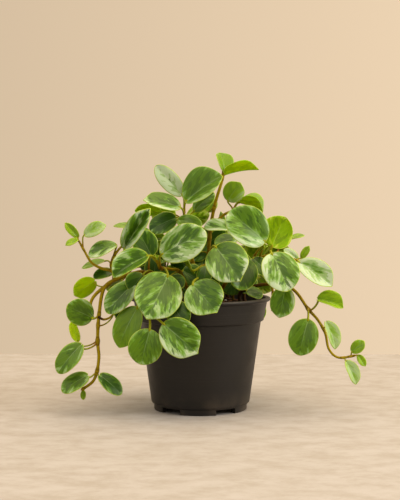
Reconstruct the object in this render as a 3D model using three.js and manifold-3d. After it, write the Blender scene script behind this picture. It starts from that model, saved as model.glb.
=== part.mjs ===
// A peperomia with trailing stems in a black plastic nursery pot.
// Millimetres, +Z up. The plant is written from the pot's axis, and the last section stands the
// middle of the whole on the origin. The viewer of the front looks along +Y.

import * as THREE from "three";
import { mergeVertices } from "three/addons/utils/BufferGeometryUtils.js";
import Module from "manifold-3d";

const wasm = await Module();
wasm.setup();

// Driving dimensions of the pot
const POT_HEIGHT = 96;
const RIM_RADIUS = 60;
const RIM_DROP = 2.5;
const RIM_ROUNDING = 0.8;
const COLLAR_TOP_RADIUS = 57.2;
const COLLAR_FOOT_RADIUS = 54.2;
const COLLAR_FOOT_Z = 76.5;
const BODY_TOP_RADIUS = 51.9;
const BODY_FOOT_RADIUS = 42.3;
const FOOT_RADIUS = 39.9;
const FOOT_HEIGHT = 5.5;
const FOOT_WIDTH = 3.4;
const FOOT_STEP = 0.5;
const COLLAR_STEP = 1;
const WALL = 1.3;
const FLOOR_THICKNESS = 1.6;
const POT_SIDES = 40;
const NOTCH_COUNT = 5;
const NOTCH_SPAN = 28;
const NOTCH_START = 33;
const NOTCH_STEPS = 3;
const DRAIN_RADIUS = 4.5;
const DRAIN_RING = 30;
const DRAIN_SIDES = 8;
const CUT_MARGIN = 1;

// Driving dimensions of the soil, and its gaps to the pot and to the stems in their holes
const GAP = 0.3;
const SOIL_SIDE_GAP = 0.5;
const HOLE_GAP = 0.5;
const HOLE_DEPTH = 30;
const HOLE_SIDES = 6;
const SOIL_EDGE_Z = 89.5;
const SOIL_MOUND = 3.5;
const SOIL_RINGS = 4;
const SOIL_SIDES = 30;
const LUMP_HEIGHT = 0.9;

// Driving dimensions of the stems, which stand straight in their holes at the first three heights
const ROOT_HEIGHTS = [78, 90, 100];
const STEM_SIDES = 5;
const STEM_STEPS_PER_SPAN = 1.2;

// Driving dimensions of the leaf stalks
const STALK_PLACES = [0, 0.5];
const STALK_RADIUS_OF_WIDTH = 1 / 24;
const STALK_LEAST_RADIUS = 0.7;
const STALK_MOST_RADIUS = 1.1;
const STALK_RISE_OF_REACH = 0.25;
const STALK_MOST_RISE = 6;
const STALK_PULL = 0.3;

// Driving dimensions of the leaf blades, as shares of their length and width
const WIDEST_PLACE = 0.48;
const BASE_ROUNDNESS = 0.5;
const TIP_ROUNDNESS = 0.54;
const BASE_LOBE = 0.1;
const BLADE_THICKNESS = 0.9;
const BLADE_PLACES = [0, 0.1, 0.32, 0.64, 0.9, 1];
const SMALL_BLADE_PLACES = [0, 0.12, 0.45, 0.85, 1];
const SMALL_BLADE_WIDTH = 20;
const BLADE_END_HALF_WIDTH = 0.6;

// The middle of the whole lies to the right of the pot's axis and behind it.
const POT_AXIS_X = -8.5;
const POT_AXIS_Y = -11;

const degrees = THREE.MathUtils.degToRad;

// Solids and joins

function solidOf(geometry) {
  const bare = geometry.index ? geometry.clone() : geometry;
  bare.deleteAttribute("normal");
  bare.deleteAttribute("uv");
  const merged = mergeVertices(bare, 1e-4);
  return new wasm.Manifold(new wasm.Mesh({
    numProp: 3,
    vertProperties: new Float32Array(merged.attributes.position.array),
    triVerts: new Uint32Array(merged.index.array),
  }));
}

function geometryOf(solid) {
  const mesh = solid.getMesh();
  const geometry = new THREE.BufferGeometry();
  geometry.setAttribute("position", new THREE.BufferAttribute(mesh.vertProperties, 3));
  geometry.setIndex(new THREE.BufferAttribute(mesh.triVerts, 1));
  geometry.computeVertexNormals();
  return geometry;
}

function closedGeometry(points, triangles) {
  const geometry = new THREE.BufferGeometry();
  geometry.setAttribute("position", new THREE.Float32BufferAttribute(points.flat(), 3));
  geometry.setIndex(triangles.flat());
  return geometry;
}

function subPart(name, solid, color, roughness) {
  const material = new THREE.MeshStandardMaterial({ color, roughness, metalness: 0 });
  const mesh = new THREE.Mesh(geometryOf(solid), material);
  mesh.name = name;
  return mesh;
}

// Pot: a thin tapered wall with a collar, a rolled rim, a raised floor and a notched foot ring

function buildPot() {
  const outline = [
    [0, FOOT_HEIGHT],
    [FOOT_RADIUS - FOOT_WIDTH, FOOT_HEIGHT],
    [FOOT_RADIUS - FOOT_WIDTH, 0],
    [FOOT_RADIUS, 0],
    [FOOT_RADIUS, FOOT_HEIGHT - FOOT_STEP],
    [BODY_FOOT_RADIUS, FOOT_HEIGHT],
    [BODY_TOP_RADIUS, COLLAR_FOOT_Z - COLLAR_STEP],
    [COLLAR_FOOT_RADIUS, COLLAR_FOOT_Z],
    [COLLAR_TOP_RADIUS, POT_HEIGHT - RIM_DROP - COLLAR_STEP],
    [RIM_RADIUS, POT_HEIGHT - RIM_DROP],
    [RIM_RADIUS, POT_HEIGHT - RIM_ROUNDING],
    [RIM_RADIUS - RIM_ROUNDING, POT_HEIGHT],
    [COLLAR_TOP_RADIUS - WALL, POT_HEIGHT],
    [COLLAR_FOOT_RADIUS - WALL, COLLAR_FOOT_Z],
    [BODY_TOP_RADIUS - WALL, COLLAR_FOOT_Z - COLLAR_STEP],
    [BODY_FOOT_RADIUS - WALL, FOOT_HEIGHT + FLOOR_THICKNESS],
    [0, FOOT_HEIGHT + FLOOR_THICKNESS],
  ];
  const profile = outline.map(([radius, z]) => new THREE.Vector2(radius, z));
  let pot = solidOf(standing(new THREE.LatheGeometry(profile, POT_SIDES)));
  for (let k = 0; k < NOTCH_COUNT; k += 1) {
    const middle = NOTCH_START + (360 / NOTCH_COUNT) * k;
    pot = pot.subtract(footNotch(middle));
    pot = pot.subtract(drainHole(DRAIN_RING, middle));
  }
  return pot.subtract(drainHole(0, 0));
}

// A lathe turns about Y, and here its axis is stood up along Z.
function standing(geometry) {
  return geometry.rotateX(Math.PI / 2);
}

// Angles round the pot start at the front and go towards +X.
function around(radius, angle) {
  const turn = degrees(angle);
  return [radius * Math.sin(turn), -radius * Math.cos(turn)];
}

function footNotch(middle) {
  const inner = FOOT_RADIUS - FOOT_WIDTH - CUT_MARGIN;
  const outer = FOOT_RADIUS + CUT_MARGIN;
  const angles = [];
  for (let i = 0; i <= NOTCH_STEPS; i += 1) {
    angles.push(middle + NOTCH_SPAN * (i / NOTCH_STEPS - 0.5));
  }
  const corners = angles.map((angle) => around(outer, angle));
  corners.push(...angles.toReversed().map((angle) => around(inner, angle)));
  const sector = new THREE.Shape(corners.map(([x, y]) => new THREE.Vector2(x, y)));
  const block = new THREE.ExtrudeGeometry(sector, { depth: FOOT_HEIGHT, bevelEnabled: false });
  return solidOf(block.translate(0, 0, -CUT_MARGIN));
}

// A round hole through the raised floor
function drainHole(ring, angle) {
  const depth = FOOT_HEIGHT + FLOOR_THICKNESS + 2 * CUT_MARGIN;
  const column = new THREE.CylinderGeometry(DRAIN_RADIUS, DRAIN_RADIUS, depth, DRAIN_SIDES);
  const [x, y] = around(ring, angle);
  return solidOf(standing(column).translate(x, y, depth / 2 - CUT_MARGIN));
}

// Soil: the root ball that fills the pot, with a low uneven mound on top

function soilHeight(radius, angle, edgeRadius) {
  const inward = 1 - (radius / edgeRadius) ** 2;
  const lumps = Math.sin(3 * angle + radius * 0.11) + Math.cos(5 * angle - radius * 0.17);
  return SOIL_EDGE_Z + SOIL_MOUND * inward + LUMP_HEIGHT * lumps * (0.3 + 0.7 * inward);
}

function buildSoil() {
  const inset = WALL + SOIL_SIDE_GAP;
  const edge = COLLAR_FOOT_RADIUS - inset;
  const side = [
    [BODY_FOOT_RADIUS - inset, FOOT_HEIGHT + FLOOR_THICKNESS + GAP],
    [BODY_TOP_RADIUS - inset, COLLAR_FOOT_Z - COLLAR_STEP],
    [edge, COLLAR_FOOT_Z + COLLAR_STEP],
  ];
  const points = [[0, 0, side[0][1]]];
  for (const [radius, z] of side) {
    for (let j = 0; j < SOIL_SIDES; j += 1) {
      points.push([...around(radius, (360 * j) / SOIL_SIDES), z]);
    }
  }
  for (let i = SOIL_RINGS; i > 0; i -= 1) {
    const radius = (edge * i) / SOIL_RINGS;
    for (let j = 0; j < SOIL_SIDES; j += 1) {
      const angle = (360 * j) / SOIL_SIDES;
      points.push([...around(radius, angle), soilHeight(radius, degrees(angle), edge)]);
    }
  }
  points.push([0, 0, soilHeight(0, 0, edge)]);
  return solidOf(closedGeometry(points, lathedTriangles(points.length, SOIL_SIDES)));
}

// A plain round hole, a little wider and deeper than the stem that stands in it
function rootHole({ path, radii }) {
  const [x, y, z] = path[0];
  const radius = (radii[0] + HOLE_GAP) / Math.cos(Math.PI / HOLE_SIDES);
  const hole = standing(new THREE.CylinderGeometry(radius, radius, HOLE_DEPTH, HOLE_SIDES));
  return solidOf(hole.translate(x, y, z - GAP + HOLE_DEPTH / 2));
}

// Rows of points round an axis, from a single first point to a single last one
function lathedTriangles(count, sides) {
  const triangles = [];
  const rows = (count - 2) / sides;
  const at = (row, j) => 1 + row * sides + (j % sides);
  for (let j = 0; j < sides; j += 1) {
    triangles.push([0, at(0, j + 1), at(0, j)]);
    triangles.push([count - 1, at(rows - 1, j), at(rows - 1, j + 1)]);
    for (let row = 0; row < rows - 1; row += 1) {
      triangles.push([at(row, j), at(row, j + 1), at(row + 1, j + 1)]);
      triangles.push([at(row, j), at(row + 1, j + 1), at(row + 1, j)]);
    }
  }
  return triangles;
}

// Stems and leaf stalks: round rods that taper along a smooth path

function pathThrough(points) {
  const corners = points.map((point) => new THREE.Vector3(...point));
  return new THREE.CatmullRomCurve3(corners, false, "catmullrom", 0.5);
}

function rod(curve, steps, sides, startRadius, endRadius) {
  const frames = curve.computeFrenetFrames(steps, false);
  const points = [curve.getPoint(0).toArray()];
  for (let i = 0; i <= steps; i += 1) {
    const radius = startRadius + ((endRadius - startRadius) * i) / steps;
    const centre = curve.getPoint(i / steps);
    for (let j = 0; j < sides; j += 1) {
      const turn = (2 * Math.PI * j) / sides;
      const spoke = frames.normals[i].clone().multiplyScalar(radius * Math.cos(turn));
      spoke.addScaledVector(frames.binormals[i], radius * Math.sin(turn));
      points.push(spoke.add(centre).toArray());
    }
  }
  points.push(curve.getPoint(1).toArray());
  return solidOf(closedGeometry(points, lathedTriangles(points.length, sides)));
}

// A main shoot stands straight in its hole before it bends.
function rooted([x, y], bends) {
  return [...ROOT_HEIGHTS.map((z) => [x, y, z]), ...bends];
}

// A place along a path is the number of its corner, and a fraction beyond it.
function placeOn(curve, station) {
  return curve.getPoint(station / (curve.points.length - 1));
}

// Leaf blades: round-ovate, with a short point, folded and arched along the midrib

function lookDirection([azimuth, elevation]) {
  const level = Math.cos(degrees(elevation));
  const [x, y] = around(level, azimuth);
  return new THREE.Vector3(x, y, Math.sin(degrees(elevation)));
}

// Half of a blade's width at a share of its length, as a share of the whole width
function halfWidth(share) {
  const bulge = (place) => place ** BASE_ROUNDNESS * (1 - place) ** TIP_ROUNDNESS;
  return (0.5 * bulge(share)) / bulge(WIDEST_PLACE);
}

function bladeFrame({ base, tip, look }) {
  const start = new THREE.Vector3(...base);
  const along = new THREE.Vector3(...tip).sub(start);
  const length = along.length();
  along.normalize();
  const face = lookDirection(look);
  face.addScaledVector(along, -face.dot(along)).normalize();
  const across = along.clone().cross(face);
  return { start, along, face, across, length };
}

// A point of the blade's middle surface: share runs from base to tip, side from -1 to 1.
function bladePoint(frame, leaf, share, side) {
  const half = Math.max(leaf.width * halfWidth(share), BLADE_END_HALF_WIDTH);
  const lobe = BASE_LOBE * side * side * (1 - share) ** 2;
  const rise = Math.abs(side) * half * Math.sin(degrees(leaf.fold));
  const arch = 4 * leaf.arch * frame.length * share * (1 - share);
  return frame.start.clone()
    .addScaledVector(frame.along, frame.length * (share - lobe))
    .addScaledVector(frame.across, side * half * Math.cos(degrees(leaf.fold)))
    .addScaledVector(frame.face, rise + arch);
}

function bladeNormal(frame, leaf, share, side) {
  const [lengthStep, sideStep, margin] = [0.02, 0.2, 0.05];
  const nearby = THREE.MathUtils.clamp(share, margin, 1 - margin);
  const ahead = bladePoint(frame, leaf, nearby + lengthStep, side);
  ahead.sub(bladePoint(frame, leaf, nearby - lengthStep, side));
  const right = bladePoint(frame, leaf, nearby, Math.min(side + sideStep, 1));
  right.sub(bladePoint(frame, leaf, nearby, Math.max(side - sideStep, -1)));
  return right.cross(ahead).normalize();
}

// Six points round the blade: its left edge, midrib and right edge above, then back below
function bladeRing(frame, leaf, share) {
  const half = BLADE_THICKNESS / 2;
  const above = [];
  const below = [];
  for (const side of [-1, 0, 1]) {
    const normal = bladeNormal(frame, leaf, share, side);
    const middle = bladePoint(frame, leaf, share, side);
    above.push(middle.clone().addScaledVector(normal, half));
    below.unshift(middle.clone().addScaledVector(normal, -half));
  }
  return [...above, ...below];
}

// The stalk leaves the stem upwards and turns until it points along the blade.
function stalkCurve(root, frame) {
  const reach = root.distanceTo(frame.start);
  const rise = Math.min(STALK_RISE_OF_REACH * reach, STALK_MOST_RISE);
  return new THREE.CubicBezierCurve3(
    root,
    root.clone().lerp(frame.start, STALK_PULL).add(new THREE.Vector3(0, 0, rise)),
    frame.start.clone().addScaledVector(frame.along, -STALK_PULL * reach),
    frame.start,
  );
}

// Six points round the stalk, in the order of a blade's ring
function stalkRings(curve, frame, radius) {
  const corners = [[-1, 0.5], [0, 1], [1, 0.5], [1, -0.5], [0, -1], [-1, -0.5]];
  const across = frame.across.clone();
  return STALK_PLACES.toReversed().map((place) => {
    const along = curve.getTangent(place);
    across.addScaledVector(along, -across.dot(along)).normalize();
    const up = across.clone().cross(along);
    return corners.map(([side, rise]) => curve.getPoint(place)
      .addScaledVector(across, side * radius)
      .addScaledVector(up, rise * radius));
  }).toReversed();
}

// A leaf is one closed skin: rings of six along the stalk, which widen into the blade.
function leafSolid(stem, leaf) {
  const frame = bladeFrame(leaf);
  const wanted = leaf.width * STALK_RADIUS_OF_WIDTH;
  const radius = THREE.MathUtils.clamp(wanted, STALK_LEAST_RADIUS, STALK_MOST_RADIUS);
  const stalk = stalkRings(stalkCurve(placeOn(stem, leaf.station), frame), frame, radius);
  const places = leaf.width > SMALL_BLADE_WIDTH ? BLADE_PLACES : SMALL_BLADE_PLACES;
  const rings = [...stalk, ...places.map((share) => bladeRing(frame, leaf, share))];
  const points = rings.flat().map((point) => point.toArray());
  const last = points.length - 6;
  const at = (row, corner) => 6 * row + (corner % 6);
  const triangles = [[0, 2, 1], [0, 3, 2], [0, 5, 3], [3, 5, 4]];
  triangles.push([last, last + 1, last + 5], [last + 1, last + 4, last + 5]);
  triangles.push([last + 1, last + 2, last + 4], [last + 2, last + 3, last + 4]);
  for (let row = 0; row < rings.length - 1; row += 1) {
    for (let corner = 0; corner < 6; corner += 1) {
      const [a, b] = [at(row, corner), at(row, corner + 1)];
      const [c, d] = [at(row + 1, corner + 1), at(row + 1, corner)];
      if (corner < 2 || corner === 5) triangles.push([a, b, c], [a, c, d]);
      else triangles.push([a, b, d], [b, c, d]);
    }
  }
  return solidOf(closedGeometry(points, triangles));
}

// A leafy stem: its shoots are listed by path, and each leaf is a row of
// [place on the shoot, base, tip, width, way the upper face looks, fold, arch].
function leafyStem(shoots) {
  const pieces = [];
  for (const shoot of shoots) {
    const curve = pathThrough(shoot.path);
    const steps = Math.ceil((shoot.path.length - 1) * STEM_STEPS_PER_SPAN);
    pieces.push(rod(curve, steps, STEM_SIDES, shoot.radii[0], shoot.radii[1]));
    for (const [station, base, tip, width, look, fold, arch] of shoot.leaves) {
      pieces.push(leafSolid(curve, { station, base, tip, width, look, fold, arch }));
    }
  }
  return pieces.reduce((whole, piece) => whole.add(piece));
}

// Left stem: over the rim and down, with short shoots that rise beside it
const leftStem = [
  {
    path: rooted([-12, -6], [[-22, -8, 107], [-34, -12, 114], [-51, -15, 118], [-69, -19, 113],
      [-81, -22, 105], [-85, -26, 83], [-86, -29, 62], [-85, -30, 46], [-89, -30, 29],
      [-100, -30, 20]]),
    radii: [2, 1.2],
    leaves: [
      [5.6, [-55, -37, 110], [-77, -43, 86], 23, [-15, 25], 12, 0.06],
      [5, [-52, -45, 90], [-67, -47, 58], 25, [-25, 10], 10, 0.06],
      [8, [-91, -28, 81], [-111, -35, 91], 23, [-20, 20], 8, 0.06],
      [8.4, [-73, -23, 86], [-65, -14, 72], 14, [60, 20], 10, 0.05],
      [9, [-103, -26, 61], [-109, -14, 77], 9, [205, 20], 12, 0.05],
      [9.1, [-99, -36, 59], [-119, -40, 36], 20, [-10, 30], 12, 0.06],
      [10.5, [-94, -34, 33], [-115, -38, 20], 16, [-5, 45], 10, 0.06],
      [10.6, [-84, -32, 33], [-66, -34, 17], 14, [15, 35], 10, 0.06],
      [11.9, [-98, -30, 20], [-98, -31, 12], 5, [0, 10], 15, 0.05],
      [4.6, [-44, -18, 153], [-73, -22, 157], 20, [0, 78], 12, 0.04],
      [4.3, [-48, -34, 117], [-58, -40, 104], 20, [0, 20], 10, 0.05],
    ],
  },
  {
    path: [[-75, -20, 110], [-87, -22, 101], [-92, -24, 93], [-91, -26, 84]],
    radii: [1.6, 1.1],
    leaves: [[0.3, [-89, -20, 111], [-106, -24, 99], 17, [170, 25], 10, 0.06]],
  },
  {
    path: [[-73, -19, 112], [-74, -20, 119], [-84, -21, 122], [-92, -21, 127], [-98, -20, 137],
      [-103, -20, 146]],
    radii: [1.5, 0.8],
    leaves: [
      [5, [-103, -19, 148], [-114, -20, 160], 8, [0, 10], 20, 0.08],
      [5, [-103, -21, 146], [-113, -24, 141], 7, [0, 40], 15, 0.05],
      [4.2, [-96, -22, 149], [-78, -24, 157], 13, [10, 35], 14, 0.06],
      [1.1, [-74, -13, 118], [-91, -12, 114], 14, [0, 50], 10, 0.05],
    ],
  },
  {
    path: [[-74, -20, 119], [-75, -20, 125], [-73, -22, 131], [-69, -25, 137], [-65, -33, 141]],
    radii: [1.4, 0.9],
    leaves: [
      [4, [-61, -37, 141], [-43, -42, 171], 26, [-20, 0], 52, 0.04],
      [2, [-72, -25, 140], [-94, -29, 130], 19, [0, 60], 14, 0.06],
      [0.9, [-82, -10, 127], [-101, -9, 121], 18, [0, 74], 8, 0.04],
    ],
  },
];

// Front left stem: a short one that holds the large leaves above the rim
const frontLeftStem = [
  {
    path: rooted([-10, -17], [[-17, -20, 118], [-24, -24, 121], [-34, -30, 122]]),
    radii: [1.8, 1.2],
    leaves: [
      [5, [-31, -46, 135], [5, -52, 152], 32, [5, 25], 8, 0.06],
      [5, [-41, -33, 133], [-52, -28, 153], 22, [10, 15], 10, 0.05],
      [4.9, [-44, -46, 133], [-71, -54, 116], 29, [-23, 31], 38, 0.05],
      [4.8, [-27, -46, 116], [-43, -72, 84], 39, [10, 25], 8, 0.07],
      [3, [-25, -30, 114], [-14, -38, 107], 15, [0, 20], 10, 0.05],
    ],
  },
];

// Rim stem: out over the front left of the rim, with a pair of leaves against the pot
const rimStem = [
  {
    path: rooted([-24, -24], [[-30, -34, 103], [-36, -46, 102], [-40, -56, 95], [-41, -61, 85]]),
    radii: [1.6, 1],
    leaves: [
      [6, [-41, -64, 74], [-48, -68, 47], 28, [0, 12], 8, 0.05],
      [6, [-29, -66, 78], [-2, -73, 56], 30, [-12, 20], 12, 0.06],
      [4.6, [-24, -57, 96], [-12, -65, 78], 20, [10, 5], 8, 0.05],
    ],
  },
];

// Front middle stem: upright, with leaves that lean out over the front of the rim
const frontMiddleStem = [
  {
    path: rooted([3, -14], [[4, -20, 112], [5, -26, 124], [8, -30, 135]]),
    radii: [1.7, 1],
    leaves: [
      [5, [13, -47, 140], [32, -68, 114], 35, [-10, 25], 10, 0.07],
      [3, [-6, -57, 110], [13, -71, 89], 33, [0, 15], 10, 0.06],
      [4, [-7, -37, 121], [-19, -24, 132], 26, [180, 50], 10, 0.05],
      [4.4, [36, -36, 131], [31, -51, 106], 27, [20, 25], 10, 0.05],
      [5, [30, -20, 147], [12, -28, 142], 15, [0, 45], 10, 0.05],
      [3.6, [5, -33, 124], [3, -42, 110], 15, [-20, 20], 10, 0.05],
    ],
  },
];

// Upper left stem: upright, and its whorl is the upper left of the plant
const upperLeftStem = [
  {
    path: rooted([-4, 2], [[-6, -1, 122], [-11, -5, 147], [-14, -8, 168]]),
    radii: [1.9, 1.3],
    leaves: [
      [5, [-17, -9, 184], [-39, -12, 208], 16, [-15, 20], 12, 0.05],
      [5, [-11, -14, 178], [18, -18, 202], 33, [5, 45], 10, 0.05],
      [4.8, [-18, -17, 173], [-48, -22, 179], 24, [0, 48], 10, 0.05],
      [4.6, [-34, -4, 169], [-56, -6, 170], 15, [170, 40], 12, 0.04],
      [4.5, [-5, -1, 170], [12, -4, 185], 16, [0, 40], 10, 0.05],
      [4.2, [-19, -14, 162], [1, -20, 157], 16, [5, 40], 10, 0.05],
      [4.2, [-21, -10, 164], [-43, -10, 153], 20, [0, 30], 10, 0.05],
      [3.1, [-15, -5, 128], [-36, -5, 124], 23, [280, 65], 10, 0.06],
      [3.6, [-14, 4, 144], [-33, 6, 146], 22, [240, 65], 10, 0.06],
    ],
  },
];

// Crown stem: the tallest, with a branch to the right
const crownStem = [
  {
    path: rooted([7, 5], [[7, 5, 125], [8, 5, 149], [11, 5, 169], [14, 5, 181], [18, 5, 194],
      [20, 5, 205]]),
    radii: [1.8, 1],
    leaves: [
      [8, [20, 5, 206], [15, 12, 220], 24, [38, 0], 38, 0.05],
      [7.4, [21, 4, 202], [50, 0, 205], 21, [180, 80], 50, 0.05],
      [5.2, [7, 12, 169], [11, 16, 181], 12, [0, 10], 10, 0.05],
      [3.3, [-3, 8, 134], [-25, 9, 133], 17, [200, 75], 10, 0.06],
      [3.1, [15, 3, 129], [35, -1, 124], 23, [60, 60], 10, 0.06],
      [3.9, [11, 12, 152], [28, 15, 157], 22, [140, 65], 10, 0.06],
      [4.2, [27, -10, 155], [3, -12, 155], 20, [0, 55], 24, 0.04],
    ],
  },
  {
    path: [[9, 5, 159], [15, 4, 162], [21, 3, 167], [28, 0, 170]],
    radii: [1.5, 1],
    leaves: [
      [3, [24, -2, 179], [34, -4, 193], 18, [10, 20], 12, 0.05],
      [3, [34, 0, 177], [53, -6, 170], 25, [0, 84], 56, 0.05],
    ],
  },
];

// Right stem: an arch over the right of the rim
const rightStem = [
  {
    path: rooted([17, -8], [[21, -11, 108], [30, -14, 119], [41, -19, 127], [58, -25, 133],
      [69, -28, 132], [80, -30, 129]]),
    radii: [1.9, 1.1],
    leaves: [
      [5.2, [51, -38, 144], [23, -40, 169], 33, [-5, 25], 8, 0.07],
      [6, [59, -42, 134], [71, -56, 105], 32, [5, 30], 12, 0.07],
      [6, [60, -26, 141], [76, -17, 165], 28, [175, 25], 12, 0.06],
      [6.4, [78, -4, 146], [89, 0, 149], 13, [10, 80], 10, 0.04],
      [8, [81, -26, 129], [70, -22, 138], 9, [0, 30], 14, 0.05],
      [8, [83, -30, 131], [90, -32, 140], 8, [0, 20], 14, 0.05],
      [8, [82, -34, 127], [108, -44, 108], 25, [10, 34], 32, 0.05],
      [5.4, [44, -27, 130], [57, -36, 116], 18, [20, 40], 10, 0.05],
    ],
  },
];

// Right trailing stem: over the rim and far out to the right
const rightTrailingStem = [
  {
    path: rooted([34, -8], [[46, -12, 106], [59, -15, 108], [72, -20, 107], [81, -23, 101],
      [90, -26, 88], [98, -29, 79], [104, -31, 68], [107, -32, 55], [115, -33, 48],
      [130, -34, 50]]),
    radii: [1.7, 0.9],
    leaves: [
      [5, [70, -36, 106], [65, -42, 82], 21, [0, 15], 10, 0.05],
      [7, [89, -36, 80], [81, -42, 51], 25, [-5, 18], 8, 0.06],
      [7.1, [98, -27, 96], [119, -30, 89], 22, [10, 45], 44, 0.05],
      [8.6, [104, -37, 78], [111, -42, 56], 16, [35, 15], 35, 0.05],
      [11.3, [121, -35, 45], [129, -37, 26], 15, [30, 10], 34, 0.05],
      [11.7, [125, -35, 54], [135, -36, 63], 11, [-10, 20], 12, 0.05],
      [12, [131, -34, 50], [137, -36, 41], 7, [0, 20], 14, 0.05],
      [2.4, [39, -23, 103], [52, -24, 98], 16, [10, 60], 8, 0.04],
    ],
  },
];

// Left side stem: short, towards the back left
const leftSideStem = [
  {
    path: rooted([-32, 2], [[-38, 6, 112], [-48, 12, 120], [-58, 18, 120], [-66, 22, 112]]),
    radii: [1.6, 1],
    leaves: [
      [6, [-70, 27, 110], [-78, 42, 98], 22, [235, 35], 10, 0.06],
      [5, [-60, 8, 128], [-66, 2, 146], 20, [280, 30], 10, 0.05],
      [4, [-46, 22, 130], [-58, 38, 132], 22, [225, 50], 12, 0.05],
      [3.4, [-46, 2, 112], [-58, 0, 103], 18, [275, 40], 10, 0.05],
    ],
  },
];

// Right side stem: short, towards the back right
const rightSideStem = [
  {
    path: rooted([38, 8], [[44, 12, 110], [52, 18, 118], [60, 26, 114], [64, 36, 100],
      [65, 42, 84]]),
    radii: [1.6, 1],
    leaves: [
      [4, [58, 8, 128], [74, -2, 140], 22, [75, 45], 10, 0.05],
      [5, [70, 28, 116], [80, 40, 104], 22, [110, 35], 10, 0.06],
      [6.3, [70, 45, 98], [72, 55, 82], 16, [125, 15], 10, 0.06],
    ],
  },
];

// Rear left stem: over the back of the rim and down
const rearLeftStem = [
  {
    path: rooted([-22, 14], [[-28, 24, 112], [-36, 38, 120], [-40, 52, 116], [-40, 63, 100],
      [-37, 68, 82], [-35, 70, 62]]),
    radii: [1.8, 1],
    leaves: [
      [3.4, [-32, 16, 128], [-42, 2, 141], 24, [250, 60], 10, 0.06],
      [4.4, [-50, 48, 126], [-72, 58, 118], 26, [235, 45], 10, 0.07],
      [4.3, [-25, 50, 113], [-13, 66, 102], 24, [185, 30], 10, 0.06],
      [5.4, [-47, 66, 104], [-50, 84, 82], 24, [205, 25], 10, 0.06],
      [6.6, [-46, 74, 78], [-54, 80, 56], 22, [215, 15], 10, 0.06],
      [7.6, [-28, 77, 66], [-22, 82, 44], 20, [185, 10], 10, 0.05],
      [8, [-38, 74, 58], [-46, 76, 36], 18, [200, 15], 12, 0.05],
    ],
  },
];

// Rear middle stem: the longest trailing one at the back
const rearMiddleStem = [
  {
    path: rooted([0, 22], [[2, 34, 116], [2, 50, 126], [0, 66, 122], [-2, 76, 106], [-2, 80, 86],
      [-1, 81, 66], [0, 82, 48]]),
    radii: [1.9, 1],
    leaves: [
      [3.5, [-10, 46, 132], [-32, 58, 136], 26, [200, 50], 10, 0.06],
      [4.5, [12, 62, 134], [32, 76, 124], 27, [165, 45], 10, 0.07],
      [5.5, [-13, 78, 116], [-34, 90, 98], 28, [190, 35], 10, 0.07],
      [6.3, [12, 84, 100], [28, 94, 76], 27, [170, 20], 8, 0.06],
      [7.2, [-12, 88, 78], [-26, 95, 54], 25, [190, 15], 10, 0.06],
      [8.1, [10, 88, 62], [24, 94, 40], 22, [172, 15], 10, 0.06],
      [9, [0, 86, 46], [-4, 90, 22], 20, [180, 10], 12, 0.05],
    ],
  },
];

// Rear right stem: over the back right of the rim and down
const rearRightStem = [
  {
    path: rooted([24, 16], [[30, 26, 112], [40, 42, 121], [45, 56, 116], [45, 64, 101],
      [42, 69, 83], [38, 71, 64]]),
    radii: [1.8, 1],
    leaves: [
      [3.4, [42, 22, 128], [58, 12, 140], 24, [110, 60], 10, 0.06],
      [4.4, [54, 48, 127], [74, 56, 120], 26, [130, 45], 10, 0.07],
      [4.3, [30, 56, 112], [21, 70, 99], 24, [175, 30], 10, 0.06],
      [5.3, [52, 67, 110], [60, 82, 92], 25, [150, 25], 10, 0.06],
      [6.2, [48, 74, 88], [50, 82, 64], 24, [165, 15], 10, 0.06],
      [7.4, [32, 76, 74], [26, 83, 52], 22, [180, 10], 10, 0.05],
      [8, [40, 75, 60], [46, 78, 38], 18, [160, 15], 12, 0.05],
    ],
  },
];

// Two upright stems that fill the back of the crown
const rearCrownLeftStem = [
  {
    path: rooted([-10, 14], [[-12, 20, 125], [-16, 27, 148], [-20, 33, 160]]),
    radii: [1.7, 1.1],
    leaves: [
      [5, [-24, 42, 158], [-44, 52, 170], 27, [205, 30], 10, 0.06],
      [5, [-13, 45, 160], [8, 56, 166], 26, [172, 30], 10, 0.06],
      [4.3, [-31, 40, 146], [-55, 48, 140], 26, [225, 35], 10, 0.06],
      [3.8, [-9, 44, 152], [2, 60, 137], 25, [185, 35], 10, 0.06],
      [3.2, [-24, 33, 133], [-36, 47, 127], 22, [210, 40], 10, 0.06],
    ],
  },
];

const rearCrownRightStem = [
  {
    path: rooted([14, 18], [[18, 24, 125], [26, 30, 145], [32, 34, 156]]),
    radii: [1.7, 1.1],
    leaves: [
      [5, [37, 43, 157], [55, 50, 166], 26, [150, 30], 10, 0.06],
      [4.8, [23, 44, 153], [17, 60, 161], 26, [185, 30], 10, 0.06],
      [4.3, [43, 36, 145], [64, 38, 148], 25, [120, 35], 10, 0.06],
      [3.7, [34, 40, 138], [44, 58, 132], 25, [155, 45], 10, 0.06],
    ],
  },
];

const STEM_COLORS = {
  bright: 0x8fa632,
  mid: 0x5f8a2a,
  dark: 0x47701f,
};
const POT_BLACK = 0x1f1c19;
const SOIL_BROWN = 0x2c1d12;

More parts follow.
